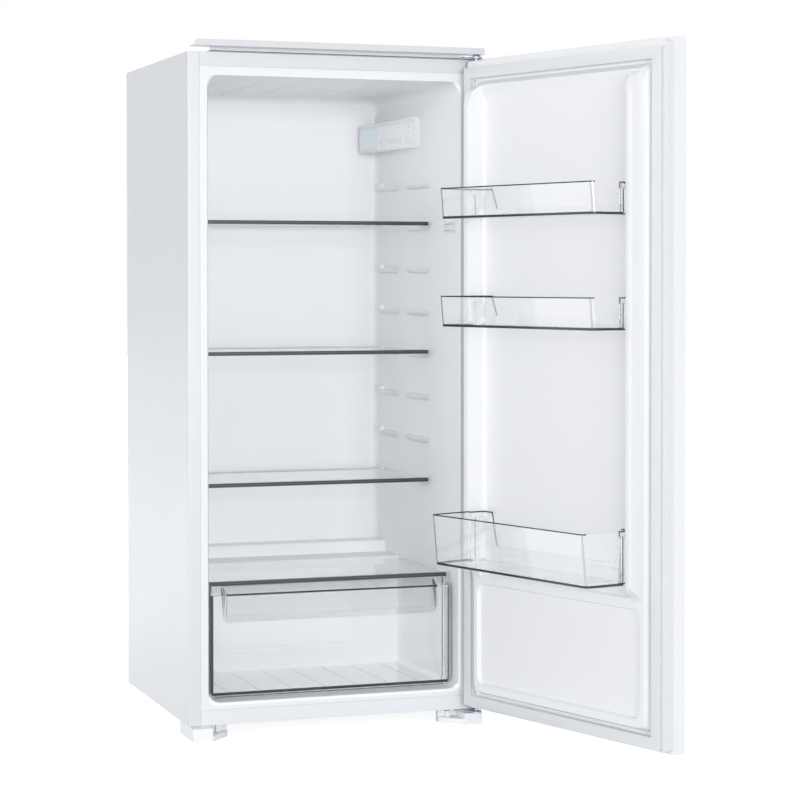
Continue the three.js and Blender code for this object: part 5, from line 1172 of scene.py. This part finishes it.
def make_surround(stage):
    """A white background for the eye and a soft, slightly cool light for the object."""
    world = bpy.data.worlds.new("studio_surround")
    bpy.context.scene.world = world
    world.use_nodes = True
    nodes, links = world.node_tree.nodes, world.node_tree.links
    light = nodes["Background"]
    light.inputs["Color"].default_value = opaque((0.96, 0.98, 1.0))
    light.inputs["Strength"].default_value = stage.dome
    white = nodes.new("ShaderNodeBackground")
    white.inputs["Color"].default_value = opaque((1.0, 1.0, 1.0))
    mix = nodes.new("ShaderNodeMixShader")
    links.new(seen_by_eye(world.node_tree), mix.inputs["Fac"])
    links.new(light.outputs[0], mix.inputs[1])
    links.new(white.outputs[0], mix.inputs[2])
    links.new(mix.outputs[0], nodes["World Output"].inputs["Surface"])


def make_lamp(name, place, target, size, power):
    data = bpy.data.lights.new(name, "AREA")
    data.shape = "RECTANGLE"
    data.size, data.size_y = size
    data.energy = power
    lamp = bpy.data.objects.new(name, data)
    bpy.context.scene.collection.objects.link(lamp)
    lamp.location = place
    lamp.rotation_euler = (Vector(target) - Vector(place)).to_track_quat("-Z", "Y").to_euler()
    lamp.visible_camera = False
    return lamp


def make_lamps(stage):
    for name, (place, target, size) in LAMPS.items():
        lamp = make_lamp(name + "_lamp", place, target, size, getattr(stage, name))
        # Glass and gloss don't show the one that stands in the compartment
        lamp.visible_glossy = lamp.visible_transmission = name != "ceiling"


def make_camera():
    forward = Vector((math.sin(CAMERA_YAW) * math.cos(CAMERA_PITCH),
                      math.cos(CAMERA_YAW) * math.cos(CAMERA_PITCH), math.sin(CAMERA_PITCH)))
    data = bpy.data.cameras.new("photo_camera")
    data.sensor_fit = "HORIZONTAL"
    data.sensor_width = SENSOR
    data.lens = FOCAL_PIXELS * SENSOR / IMAGE_SIDE
    data.shift_x = -CENTRE_OFFSET[0] / IMAGE_SIDE
    data.shift_y = CENTRE_OFFSET[1] / IMAGE_SIDE
    camera = bpy.data.objects.new("photo_camera", data)
    bpy.context.scene.collection.objects.link(camera)
    camera.location = Vector(CAMERA_PLACE) * MM
    camera.rotation_euler = forward.to_track_quat("-Z", "Y").to_euler()
    bpy.context.scene.camera = camera


class FRIDGE_PT_panel(bpy.types.Panel):
    """Lists the sizes, the colours and the makers"""

    bl_idname = "FRIDGE_PT_panel"
    bl_label = "Built-in refrigerator"
    bl_space_type = "VIEW_3D"
    bl_region_type = "UI"
    bl_category = "Refrigerator"

    def draw(self, context):
        layout = self.layout
        for settings in SETTINGS:
            group = getattr(context.scene, settings)
            column = layout.column(heading=settings.replace("_", " "))
            for key in type(group).__annotations__:
                column.prop(group, key)
        for operator in OPERATORS:
            layout.operator(operator.bl_idname)


SETTINGS = {
    "fridge_colours": FridgeColours,
    "fridge_edges": FridgeEdges,
    "fridge_stage": FridgeStage,
}
OPERATORS = (
    FRIDGE_OT_finishes,
    FRIDGE_OT_panels,
    FRIDGE_OT_liners,
    FRIDGE_OT_clear_pieces,
    FRIDGE_OT_shelves,
    FRIDGE_OT_outside,
    FRIDGE_OT_fittings,
    FRIDGE_OT_machine,
    FRIDGE_OT_stage,
)


def register():
    for name, group in SETTINGS.items():
        bpy.utils.register_class(group)
        setattr(bpy.types.Scene, name, PointerProperty(type=group))
    for operator in (*OPERATORS, FRIDGE_PT_panel):
        bpy.utils.register_class(operator)


def unregister():
    for operator in reversed((*OPERATORS, FRIDGE_PT_panel)):
        bpy.utils.unregister_class(operator)
    for name, group in SETTINGS.items():
        delattr(bpy.types.Scene, name)
        bpy.utils.unregister_class(group)


def main():
    register()
    for operator in OPERATORS:
        space, name = operator.bl_idname.split(".")
        getattr(getattr(bpy.ops, space), name)()
    deselect()


if __name__ == "__main__":
    main()
